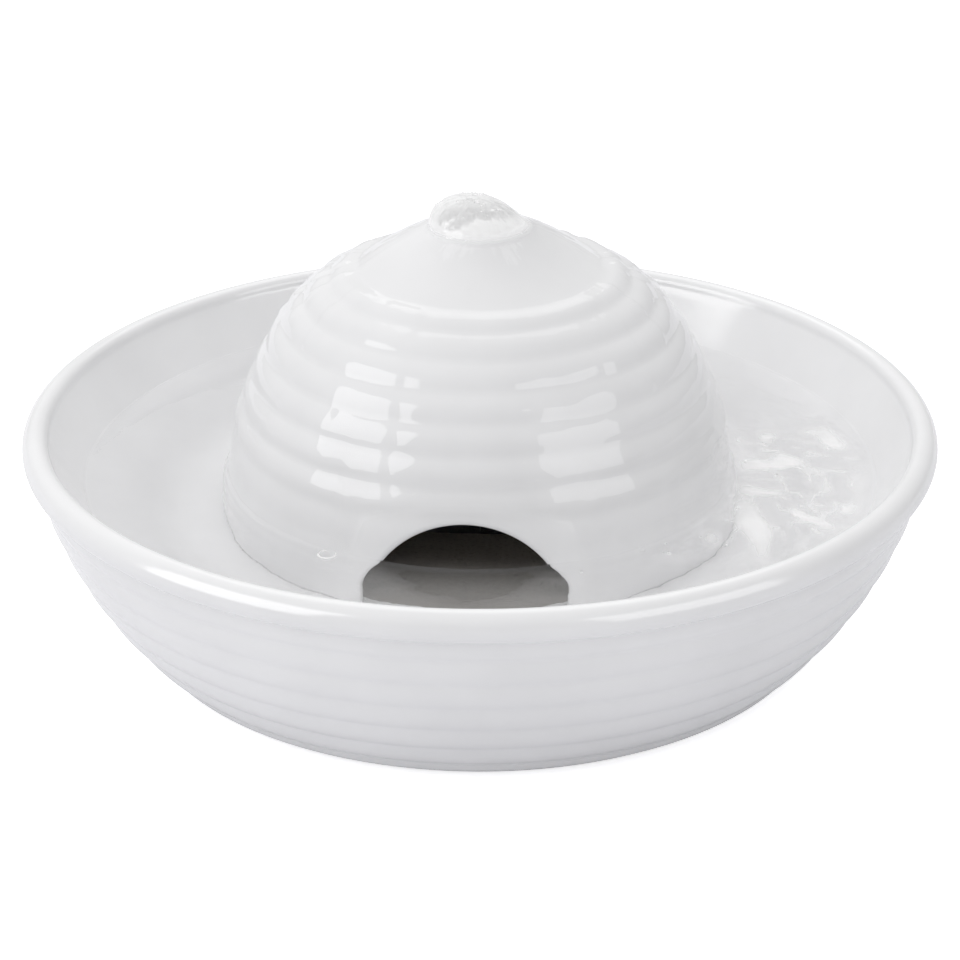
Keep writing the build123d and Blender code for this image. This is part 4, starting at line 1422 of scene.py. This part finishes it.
@dataclass
class RunningWater:
    """Water that wells up at the neck and runs down over the dome.

    Attributes:
        dome: The dome it runs over.
        hold: How deep the skin's dry parts and its underside lie in the clay.
        shore: Heights from the pool's surface where the film ends and is full.
        well_radius: Radius of the welling water where it leaves the neck.
        well_foot: Height where it leaves the neck.
        well_top: Height of its top.
        well_rows: Rows of vertices that it has.
        well_fullness: Power that its side rises by: a higher one makes a flatter top.
        lively_rise: Shares of its height where it starts to be stirred up, and is fully.
        milky_rise: Shares of its height where it starts to be white, and is fully.
        milk: How white fine air bubbles make it.
        lean: How far its top leans to the left.
        lean_foot: How far below the neck's edge the leaning starts.
        bottom: Height of its underside in the neck's bore.
        upright: How far above the underside nothing leans.
        neck_fill: How much thicker it is in the hollow below the neck.
        lip_hold: How much deeper its underside lies over the neck's lip.
        gap: How far beside an opening's rounded edge the skin ends.
        edge: Radius of the skin's own edge there.
        spacings: Distance between points on the underside: below, up the bore and over the lip.
        flow: The face of the water.
        bubbles: The froth on top.
    """

    dome: Dome
    hold: float = 0.45
    shore: Rise = (-1.2, 0.6)
    well_radius: float = 14.3
    well_foot: float = 130.4
    well_top: float = 138.2
    well_rows: int = 26
    well_fullness: int = 3
    lively_rise: Rise = (0.35, 0.8)
    milky_rise: Rise = (-0.2, 0.2)
    milk: float = 0.55
    lean: float = -3.2
    lean_foot: float = 3.0
    bottom: float = 127.2
    upright: float = 4.0
    neck_fill: float = 2.1
    lip_hold: float = 0.5
    gap: float = 0.6
    edge: float = 0.12
    spacings: tuple[float, float, float] = (3.0, 1.0, 0.7)
    flow: Flow = Flow(
        film=0.22,
        sheet=0.5,
        sheet_width=26,
        sheet_length=60,
        ripple=0.8,
        ripple_length=7,
        stir=1.4,
        stir_length=4,
        seed=2.0,
    )
    bubbles: Froth = Froth(per_area=60000.0, start=0.5, smallest=0.2, largest=0.5, seed=4)
    piece: bpy.types.Object = field(init=False)
    froth: bpy.types.Object = field(init=False)

    def contour(self) -> list[Station]:
        """The skin's outer face up to the top of the welling water, then its underside back down."""
        dome = self.dome
        outer = [
            replace(s, wet=smooth_step(*self.shore, s.height - WATER_LEVEL))
            for s in dome.outer(self.hold, self.neck_fill)
        ]
        height = self.well_top - self.well_foot
        well = []
        for inwards in np.linspace(0, 1, self.well_rows):
            share = 1 - (1 - inwards) ** self.well_fullness
            lively = smooth_step(*self.lively_rise, share)
            milky = self.milk * smooth_step(*self.milky_rise, share)
            spot = (self.well_radius * (1 - inwards), self.well_foot + height * share)
            well.append(Station(*spot, wet=1.0, lively=lively, milky=milky))
        bore = dome.neck_bore + self.hold
        lip_height = dome.foot + dome.neck_height - self.hold
        lip_end = (dome.neck_radius - 2 * self.hold, lip_height)
        below, up, over = self.spacings
        under = [(0.0, self.bottom), *line((0.0, self.bottom), (bore, self.bottom), below)]
        under += line(under[-1], (bore, lip_height), up)
        crest = bowed(lip_end, under[-1], dome.neck_lip - self.lip_hold)
        under += arc(under[-1], crest, lip_end, over)
        inner = [replace(s, relief=0.0, wet=0.0) for s in dome.outer(2 * self.hold)]
        return [*outer, *well, *[Station(*p) for p in under], *reversed(inner[:-2])]

    def openings(self) -> list[Opening]:
        """The dome's openings, widened so that the skin ends in the clay beside them."""
        wider = []
        for opening in self.dome.openings():
            apart = opening.rounding + self.gap
            sides = {"half_width": opening.half_width + apart, "top": opening.top + apart}
            wider.append(replace(opening, **sides, rounding=self.edge, reach=opening.reach - self.gap))
        return wider

    def leaning(self, height: float) -> float:
        """How far the water leans to the right at a height."""
        if height <= self.bottom + self.upright:
            return 0.0
        return self.lean * smooth_step(self.well_foot - self.lean_foot, self.well_top, height)

    def build(self) -> None:
        """Make the skin over the dome with the welling water on top."""
        draft = TurnedWall(self.contour(), WALL_COLUMNS, self.openings()).to_draft()
        draft.points = [(x + self.leaning(z), y, z) for x, y, z in draft.points]
        self.piece = draft.to_object("water_over_dome")

    def dress(self, water: bpy.types.Material) -> None:
        """Let the skin follow the rings, lay the flow over it and scatter the froth on top."""
        self.dome.rings.raise_on(self.piece, water, water, water)
        replace(self.flow, lift=self.hold).lay_on(self.piece, water)
        self.froth = self.bubbles.scatter("froth_on_dome", self.piece, water)
        for piece in (self.piece, self.froth):
            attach(piece, Body.DOME.value)


@dataclass
class Pool:
    """Water in the bowl, one body from the floor to its surface, inside the dome as well.

    Attributes:
        bowl: The bowl that holds it.
        dome: The dome that stands in it.
        hold: How deep its sides lie in the clay.
        row: Distance between the surface's rows of vertices.
        rim: How much higher than the surface the body reaches in the clay.
        margin: How far from the wall and in the dome's side the surface's own rows start and end.
        fine_reach: How far out from the dome's side the rows are three times as close.
        climb: How high the water is drawn up the dome's side.
        climb_length: Distance over which that drops to a third.
        wet_rise: Distances from the wall between which the ripples come in.
        calm: How lively the calm parts are, of the liveliest.
        left: How lively the left side is, of the right.
        fading: How much of the stir is gone at the bowl's wall.
        milk: How white the streaks and patches are: partly foam, partly painted light on the water.
        thin: How white a streak is, of a patch.
        haze: Painted light in front of the arch: how white the water is made there.
        streak_size: Width of the streaks and the calm water between them.
        patch_size: Width of the patches, in streaks.
        foam_seed: Seed of the streaks' curls.
        fall_rise: Distances from the dome's foot between which the stir comes in.
        fall_top: Distance from the dome's foot where it starts to fade.
        right_rise: Places across, between which it grows to the right.
        wall_rise: Distances from the wall between which it comes in.
        foam_out: Distances from the dome's foot between which the foam comes in.
        foam_in: Distances from the wall between which all the white comes in.
        foam_right: Places across, between which the foam comes in.
        foam_front: Places from front to back, between which it comes in.
        foam_back: Places from front to back, between which it goes.
        streak_rise: Noise levels between which a streak thins out.
        patch_rise: Noise levels between which a patch comes in.
        haze_front: Distances in front of the dome's foot between which the painted light comes in.
        haze_side: Places to either side between which it goes.
        bubble_at: Where the one large bubble floats, against the dome's side.
        bubble_radius: Radius of the ring of water round it.
        bubble_edge: Half the thickness of that ring.
        bubble_milk: How white that ring is: a painted highlight.
        bubble_sides: Faces round the ring, and faces round its edge.
        flow: The face of the water.
        bubbles: The froth on it.
    """

    bowl: Bowl
    dome: Dome
    hold: float = 0.3
    row: float = 1.3
    rim: float = 0.5
    margin: float = 0.6
    fine_reach: float = 4.0
    climb: float = 1.3
    climb_length: float = 0.8
    wet_rise: Rise = (0.0, 6.0)
    calm: float = 0.04
    left: float = 0.35
    fading: float = 0.5
    milk: float = 0.7
    thin: float = 0.5
    haze: float = 0.18
    streak_size: float = 8.5
    patch_size: float = 1.7
    foam_seed: int = 4
    fall_rise: Rise = (-12.0, -6.0)
    fall_top: float = -4.0
    right_rise: Rise = (-20.0, 60.0)
    wall_rise: Rise = (0.0, 12.0)
    foam_out: Rise = (-4.0, 8.0)
    foam_in: Rise = (0.0, 10.0)
    foam_right: Rise = (25.0, 75.0)
    foam_front: Rise = (-78.0, -40.0)
    foam_back: Rise = (10.0, 50.0)
    streak_rise: Rise = (0.0, 0.2)
    patch_rise: Rise = (0.0, 0.45)
    haze_front: Rise = (-16.0, 18.0)
    haze_side: Rise = (30.0, 70.0)
    bubble_at: Spot = (-40.6, -68.2)
    bubble_radius: float = 2.6
    bubble_edge: float = 0.35
    bubble_milk: float = 0.6
    bubble_sides: tuple[int, int] = (32, 12)
    flow: Flow = Flow(ripple=0.25, ripple_length=12, stir=1.8, stir_length=14, seed=5.0)
    bubbles: Froth = Froth(per_area=9000.0, start=0.8, smallest=0.3, largest=0.9, seed=9)
    piece: bpy.types.Object = field(init=False)
    froth: bpy.types.Object = field(init=False)
    bubble: bpy.types.Object = field(init=False)

    def contour(self) -> list[Station]:
        """From the middle of the floor up the wall, then over the surface to its middle."""
        level, margin = WATER_LEVEL, self.margin
        top = (self.bowl.inside_radius(level + self.rim, self.hold), level + self.rim)
        wall = [top, *self.bowl.inside(top, self.hold)]
        radius, height, _ = self.dome.side(0.0)
        shore = float(np.interp(level, height, radius))
        start = (top[0] - margin, level)
        surface = line(start, (shore + self.fine_reach, level), self.row)
        surface += line(surface[-1], (shore - margin, level), self.row / 3)
        surface += line(surface[-1], (0.0, level), self.row)
        rows = [Station(*p) for p in reversed(wall)]
        rows.append(Station(*start))
        for r, z in surface:
            drawn_up = self.climb * math.exp(-abs(r - shore) / self.climb_length)
            wet = smooth_step(*self.wet_rise, top[0] - r)
            rows.append(Station(r, z + drawn_up, wet=wet, lively=1.0, milky=1.0))
        return rows

    def spans(self, point: Point) -> tuple[float, float]:
        """Distance of a point of the surface from the dome's foot, and from the bowl's wall."""
        distance = math.hypot(*point[:2])
        return distance - self.dome.radius, self.bowl.inside_radius(WATER_LEVEL) - distance

    def stirred(self, point: Point, old: float) -> float:
        """How lively the surface is at a point: most where the film falls in, on the right above all."""
        from_dome, from_wall = self.spans(point)
        fall = smooth_step(*self.fall_rise, from_dome)
        fall *= 1 - self.fading * smooth_step(self.fall_top, from_dome + from_wall, from_dome)
        right = self.left + (1 - self.left) * smooth_step(*self.right_rise, point[0])
        share = self.calm + (1 - self.calm) * fall * right
        return old * smooth_step(*self.wall_rise, from_wall) * share

    def foaming(self, point: Point, old: float) -> float:
        """How white a point is: foam and painted light on the right, painted light in front of the arch."""
        x, y, _ = point
        from_dome, from_wall = self.spans(point)
        # Streaks and patches on the right: partly foam, partly painted light on the water.
        foam = self.milk * smooth_step(*self.foam_out, from_dome) * smooth_step(*self.foam_right, x)
        foam *= smooth_step(*self.foam_front, y) * (1 - smooth_step(*self.foam_back, y))
        place = Vector((x, y, 0.0)) / self.streak_size
        curled = place + noise.noise_vector(place / 2)
        streak = self.thin * (1 - smooth_step(*self.streak_rise, abs(noise.noise(curled))))
        patch = smooth_step(*self.patch_rise, noise.noise(curled / self.patch_size))
        foam *= max(streak, patch)
        # Painted light in front of the arch, as white in the water.
        haze = self.haze * smooth_step(*self.haze_front, -y - self.dome.radius)
        haze *= 1 - smooth_step(*self.haze_side, abs(x))
        return old * smooth_step(*self.foam_in, from_wall) * max(haze, foam)

    def build(self) -> None:
        """Make the body of water and the large bubble's ring."""
        draft = TurnedWall(self.contour(), WALL_COLUMNS).to_draft()
        noise.seed_set(self.foam_seed)
        draft.revise("milky", self.foaming)
        draft.revise("lively", self.stirred)
        self.piece = draft.to_object("water_in_bowl")
        sides, edge_sides = self.bubble_sides
        turns = np.linspace(0, math.tau, edge_sides, endpoint=False)
        reach = self.bubble_radius + self.bubble_edge * np.cos(turns)
        height = WATER_LEVEL + self.bubble_edge * np.sin(turns)
        # The ring's white is a painted highlight.
        edge = [Station(r, z, milky=self.bubble_milk) for r, z in zip(reach, height)]
        ring = TurnedWall(edge, sides).to_draft()
        across, back = self.bubble_at
        ring.points = [(x + across, y + back, z) for x, y, z in ring.points]
        self.bubble = ring.to_object("large_bubble")

    def dress(self, water: bpy.types.Material) -> None:
        """Stir the surface up and scatter small bubbles where it is most lively."""
        self.bubble.data.materials.append(water)
        self.flow.lay_on(self.piece, water)
        self.froth = self.bubbles.scatter("froth_on_pool", self.piece, water)
        for piece in (self.piece, self.froth, self.bubble):
            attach(piece, Body.BASE.value)


# ---- pump


@dataclass
class Pump:
    """Submersible pump: its solids keep their shape and get the finishes of the real materials."""

    shell: MouldedPart = MouldedPart("black_moulded_abs", "17181A", "1F2022", 0.42, grain_size=0.5)
    rubber: MouldedPart = MouldedPart("black_nitrile_rubber", "1B1B1C", "242425", 0.62, 1.52, grain_size=0.9)
    hose: MouldedPart = MouldedPart(
        "clear_pvc_hose", "F4F7F6", "E9F0EE", 0.06, 1.53, grain_size=6.0, grain_depth=0.03, clear=0.95
    )
    silicone: MouldedPart = MouldedPart(
        "milky_silicone", "E9E9E4", "DEDED8", 0.38, 1.43, grain_size=2.0, clear=0.35
    )
    nylon: MouldedPart = MouldedPart("natural_nylon", "EFE9D9", "E4DCC8", 0.45, 1.53)
    resin: MouldedPart = MouldedPart(
        "cast_black_epoxy", "0E0F10", "141516", 0.12, 1.55, grain_size=7.0, grain_depth=0.08
    )
    oxide: MouldedPart = MouldedPart("polished_oxide_ceramic", "EDEAE2", "E3DFD5", 0.12, 1.76)
    slippery: MouldedPart = MouldedPart("white_ptfe", "F1F1EE", "E8E8E4", 0.35, 1.35)
    acetal: MouldedPart = MouldedPart("white_moulded_acetal", "E8E8E6", "DEDEDB", 0.33, 1.48)
    magnet: MouldedPart = MouldedPart("sintered_ferrite", "2A2A2D", "3B3B3F", 0.5, 2.3, grain_size=0.4)
    laminations: LinedMetal = LinedMetal("stacked_silicon_steel", "8E9093", "3C3D40", 0.38, 0.5, "Z")
    wire: LinedMetal = LinedMetal("enamelled_copper_wire", "B4642F", "4A2410", 0.3, 0.3, "X")
    foam: OpenFoam = OpenFoam()
    foam_corner: float = 2.2
    sponge: bpy.types.Object = field(init=False)

    def finishes(self) -> tuple[tuple[MouldedPart | LinedMetal, tuple[str, ...]], ...]:
        """Which solids each finish goes on."""
        return (
            (self.shell, ("pump_housing", "volute_cover", "intake_strainer", "flow_slider")),
            (self.rubber, ("cable_gland", "suction_cups", "chamber_seal", "front_bush", "rear_bush")),
            (self.hose, ("outlet_tube",)),
            (self.silicone, ("outlet_seal",)),
            (self.nylon, ("coil_bobbin",)),
            (self.resin, ("potting_resin",)),
            (self.oxide, ("impeller_shaft",)),
            (self.slippery, ("front_washer", "rear_washer")),
            (self.acetal, ("impeller",)),
            (self.magnet, ("rotor_magnet",)),
            (self.laminations, ("stator_core",)),
            (self.wire, ("coil_winding",)),
        )

    def build(self) -> None:
        """Make the foam block that stands for the strainer's soft solid."""
        low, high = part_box("filter_sponge")
        work = bmesh.new()
        bmesh.ops.create_cube(work, size=1.0)
        middle, size = (low + high) / 2, high - low
        for vertex in work.verts:
            vertex.co = middle + Vector(c * s for c, s in zip(vertex.co, size))
        upright = [e for e in work.edges if abs(e.verts[0].co.y - e.verts[1].co.y) > size.y / 2]
        bmesh.ops.bevel(work, geom=upright, offset=self.foam_corner * MM, segments=4, affect="EDGES")
        bmesh.ops.triangulate(work, faces=work.faces)
        bmesh.ops.subdivide_edges(work, edges=work.edges, cuts=7, use_grid_fill=True)
        mesh = bpy.data.meshes.new("foam_block")
        work.to_mesh(mesh)
        work.free()
        self.sponge = finish_mesh(mesh, "foam_block")

    def dress(self) -> None:
        """Give every solid of the pump its finish, and the foam block its pores."""
        for finish, names in self.finishes():
            material = finish.to_material()
            for name in names:
                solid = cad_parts[name]
                solid.data.materials.clear()
                solid.data.materials.append(material)
        self.sponge.data.materials.append(self.foam.to_material())
        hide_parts("filter_sponge")
        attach(self.sponge, Body.STRAINER.value)


# ---- studio


@dataclass(frozen=True)
class Softbox:
    """Large soft lamp, placed by the way its middle and its sides are seen from the object.

    It only shows in gloss and water; the surround's glows give its light.

    Attributes:
        name: Name of the lamp.
        azimuth: Way it lies from the front, in degrees, positive to the right.
        elevation: Height above the horizon, in degrees.
        width: How wide it looks, in degrees.
        height: How high it looks, in degrees.
        radiance: Brightness of its face, where 1 is a white that just reaches full.
        distance: Distance from the object, in metres.
    """

    name: str
    azimuth: float
    elevation: float
    width: float
    height: float
    radiance: float
    distance: float = 1.5

    def build(self, target: Vector) -> None:
        """Make the lamp, facing the target."""
        lamp = bpy.data.lights.new(self.name, "AREA")
        lamp.shape = "RECTANGLE"
        lamp.size = 2 * self.distance * math.tan(math.radians(self.width) / 2)
        lamp.size_y = 2 * self.distance * math.tan(math.radians(self.height) / 2)
        lamp.energy = self.radiance * math.pi * lamp.size * lamp.size_y
        holder = put_in_scene(self.name, lamp)
        place_facing(holder, target, direction(self.azimuth, self.elevation), self.distance)
        holder.visible_diffuse = False


@dataclass(frozen=True)
class Glow:
    """Soft patch of light in the surround.

    Attributes:
        azimuth: Way it lies from the front, in degrees, positive to the right.
        elevation: Height above the horizon, in degrees.
        reach: How far it spreads from its middle, in degrees.
        level: Brightness in its middle, where 1 is white.
    """

    azimuth: float
    elevation: float
    reach: float
    level: float

    def add(self, tree: bpy.types.NodeTree, way: bpy.types.NodeSocket) -> bpy.types.NodeSocket:
        """Add the patch to the surround's tree and return its light for the way looked in."""
        ways = {0: way, 1: tuple(direction(self.azimuth, self.elevation))}
        facing = add_node(tree, "ShaderNodeVectorMath", ways, operation="DOT_PRODUCT").outputs["Value"]
        return add_node(
            tree,
            "ShaderNodeMapRange",
            {0: facing, 1: math.cos(math.radians(self.reach)), 2: 1.0, 3: 0.0, 4: self.level},
            interpolation_type="SMOOTHSTEP",
        ).outputs[0]


@dataclass
class Studio:
    """White floor and surround, soft lamps and the camera.

    Attributes:
        target: Point the camera's distance and pitch are measured from, in metres.
        distance: Distance of the camera, in metres.
        azimuth: How far round to the right the camera stands, in degrees.
        pitch: How far down it looks, in degrees.
        lens: Focal length of the camera.
        shift: How far the frame sits above the camera's axis, as a share of its width.
        surround: Even light from all round, where 1 is white.
        glows: Soft patches that the surround has besides.
        floor_colour: Colour of the floor.
        floor_glow: Light that the floor itself gives, as a light table does.
        floor_lift: How much more the floor is brightened for the camera.
        floor_half: Half its side, in metres.
        floor_height: Its height, in metres, a little below the foot.
        sensor: Width of the camera's sensor.
        lamps: The soft lamps.
    """

    target: Vector = field(default_factory=lambda: Vector((0.0, 0.0, 0.04)))
    distance: float = 1.0
    azimuth: float = 3.4
    pitch: float = 24.79
    lens: float = 120.4
    shift: float = 0.0199
    surround: float = 0.3
    glows: tuple[Glow, ...] = (
        Glow(azimuth=0, elevation=90, reach=70, level=0.3),
        Glow(azimuth=-80, elevation=25, reach=90, level=0.64),
        Glow(azimuth=80, elevation=25, reach=90, level=0.16),
        Glow(azimuth=0, elevation=45, reach=60, level=0.2),
        Glow(azimuth=180, elevation=40, reach=60, level=0.62),
    )
    floor_colour: str = "F0F0F3"
    floor_glow: float = 0.04
    floor_lift: float = 0.6
    floor_half: float = 4.0
    floor_height: float = -0.0002
    sensor: float = 36.0
    lamps: tuple[Softbox, ...] = (
        Softbox("softbox_left", azimuth=-57, elevation=23, width=44, height=42, radiance=4.2),
        Softbox("softbox_right", azimuth=54, elevation=21, width=44, height=38, radiance=3.0),
        Softbox("softbox_behind", azimuth=183, elevation=54, width=38, height=36, radiance=1.1),
    )

    def build(self) -> None:
        """Set up the floor, the surround, the lamps, the camera and the plain view."""
        bpy.context.scene.view_settings.view_transform = "Standard"
        self._build_floor()
        self._build_surround()
        for lamp in self.lamps:
            lamp.build(self.target)
        self._build_camera()

    def _seen_ray(self, tree: bpy.types.NodeTree) -> bpy.types.NodeSocket:
        """1 for camera and transmission rays, 0 for rays that light the object."""
        path = add_node(tree, "ShaderNodeLightPath").outputs
        seen = {0: path["Is Camera Ray"], 1: path["Is Transmission Ray"]}
        return add_node(tree, "ShaderNodeMath", seen, operation="MAXIMUM").outputs[0]

    def _build_floor(self) -> None:
        """Make the white floor, which keeps the object's soft shadow."""
        mesh = bpy.data.meshes.new("studio_floor")
        half, height = self.floor_half, self.floor_height
        corners = [(x * half, y * half, height) for x, y in ((-1, -1), (1, -1), (1, 1), (-1, 1))]
        mesh.from_pydata(corners, [], [(0, 1, 2, 3)])
        floor = put_in_scene("studio_floor", mesh)
        material = bpy.data.materials.new("white_studio_floor")
        material.use_nodes = True
        tree = material.node_tree
        tree.nodes.remove(tree.nodes["Principled BSDF"])
        paint = add_node(tree, "ShaderNodeBsdfDiffuse", {"Color": linear(self.floor_colour)}).outputs[0]
        seen = {0: self._seen_ray(tree), 1: self.floor_lift}
        lift = add_node(tree, "ShaderNodeMath", seen, operation="MULTIPLY").outputs[0]
        total = add_node(tree, "ShaderNodeMath", {0: lift, 1: self.floor_glow}, operation="ADD").outputs[0]
        glow = add_node(tree, "ShaderNodeEmission", {"Strength": total}).outputs[0]
        both = add_node(tree, "ShaderNodeAddShader", {0: paint, 1: glow}).outputs[0]
        tree.links.new(both, tree.nodes["Material Output"].inputs["Surface"])
        mesh.materials.append(material)

    def _build_surround(self) -> None:
        """Make the even light from all round, which the camera sees as white."""
        world = bpy.data.worlds.new("white_surround")
        world.use_nodes = True
        bpy.context.scene.world = world
        tree = world.node_tree
        way = add_node(tree, "ShaderNodeTexCoord").outputs["Generated"]
        level = add_node(tree, "ShaderNodeValue").outputs[0]
        level.default_value = self.surround
        for glow in self.glows:
            sum_of = {0: level, 1: glow.add(tree, way)}
            level = add_node(tree, "ShaderNodeMath", sum_of, operation="ADD").outputs[0]
        tree.nodes.remove(tree.nodes["Background"])
        white = linear("FFFFFF")
        even, seen = (
            add_node(tree, "ShaderNodeBackground", {"Color": white, "Strength": strength}).outputs[0]
            for strength in (level, 1.0)
        )
        mixed = add_node(tree, "ShaderNodeMixShader", {0: self._seen_ray(tree), 1: even, 2: seen}).outputs[0]
        tree.links.new(mixed, tree.nodes["World Output"].inputs["Surface"])

    def _build_camera(self) -> None:
        """Place the camera."""
        data = bpy.data.cameras.new("camera")
        data.sensor_width = self.sensor
        data.lens = self.lens
        data.shift_y = self.shift
        camera = put_in_scene("camera", data)
        place_facing(camera, self.target, direction(self.azimuth, self.pitch), self.distance)
        bpy.context.scene.camera = camera


def main() -> None:
    """Build the sub-assemblies in order, dress them and log the pieces' face counts."""
    logging.basicConfig(level=logging.INFO, format="%(name)s: %(message)s")
    glaze = StonewareGlaze()
    # The bare clay is also the painted shade inside the dome and on the floor under it.
    clay = BareStonewareAndShade().to_material()
    water = ClearLiquid().to_material()

    bowl = Bowl()
    bowl.build()
    bowl.dress(glaze, clay)
    dome = Dome()
    dome.build()
    dome.dress(glaze, clay)
    pool = Pool(bowl, dome)
    pool.build()
    pool.dress(water)
    running = RunningWater(dome)
    running.build()
    running.dress(water)
    pump = Pump()
    pump.build()
    pump.dress()
    Studio().build()

    ware = (bowl.piece, dome.piece, pump.sponge)
    for piece in (*ware, pool.piece, pool.froth, pool.bubble, running.piece, running.froth):
        LOG.info("%s: %d faces", piece.name, len(piece.data.polygons))


if __name__ == "__main__":
    main()
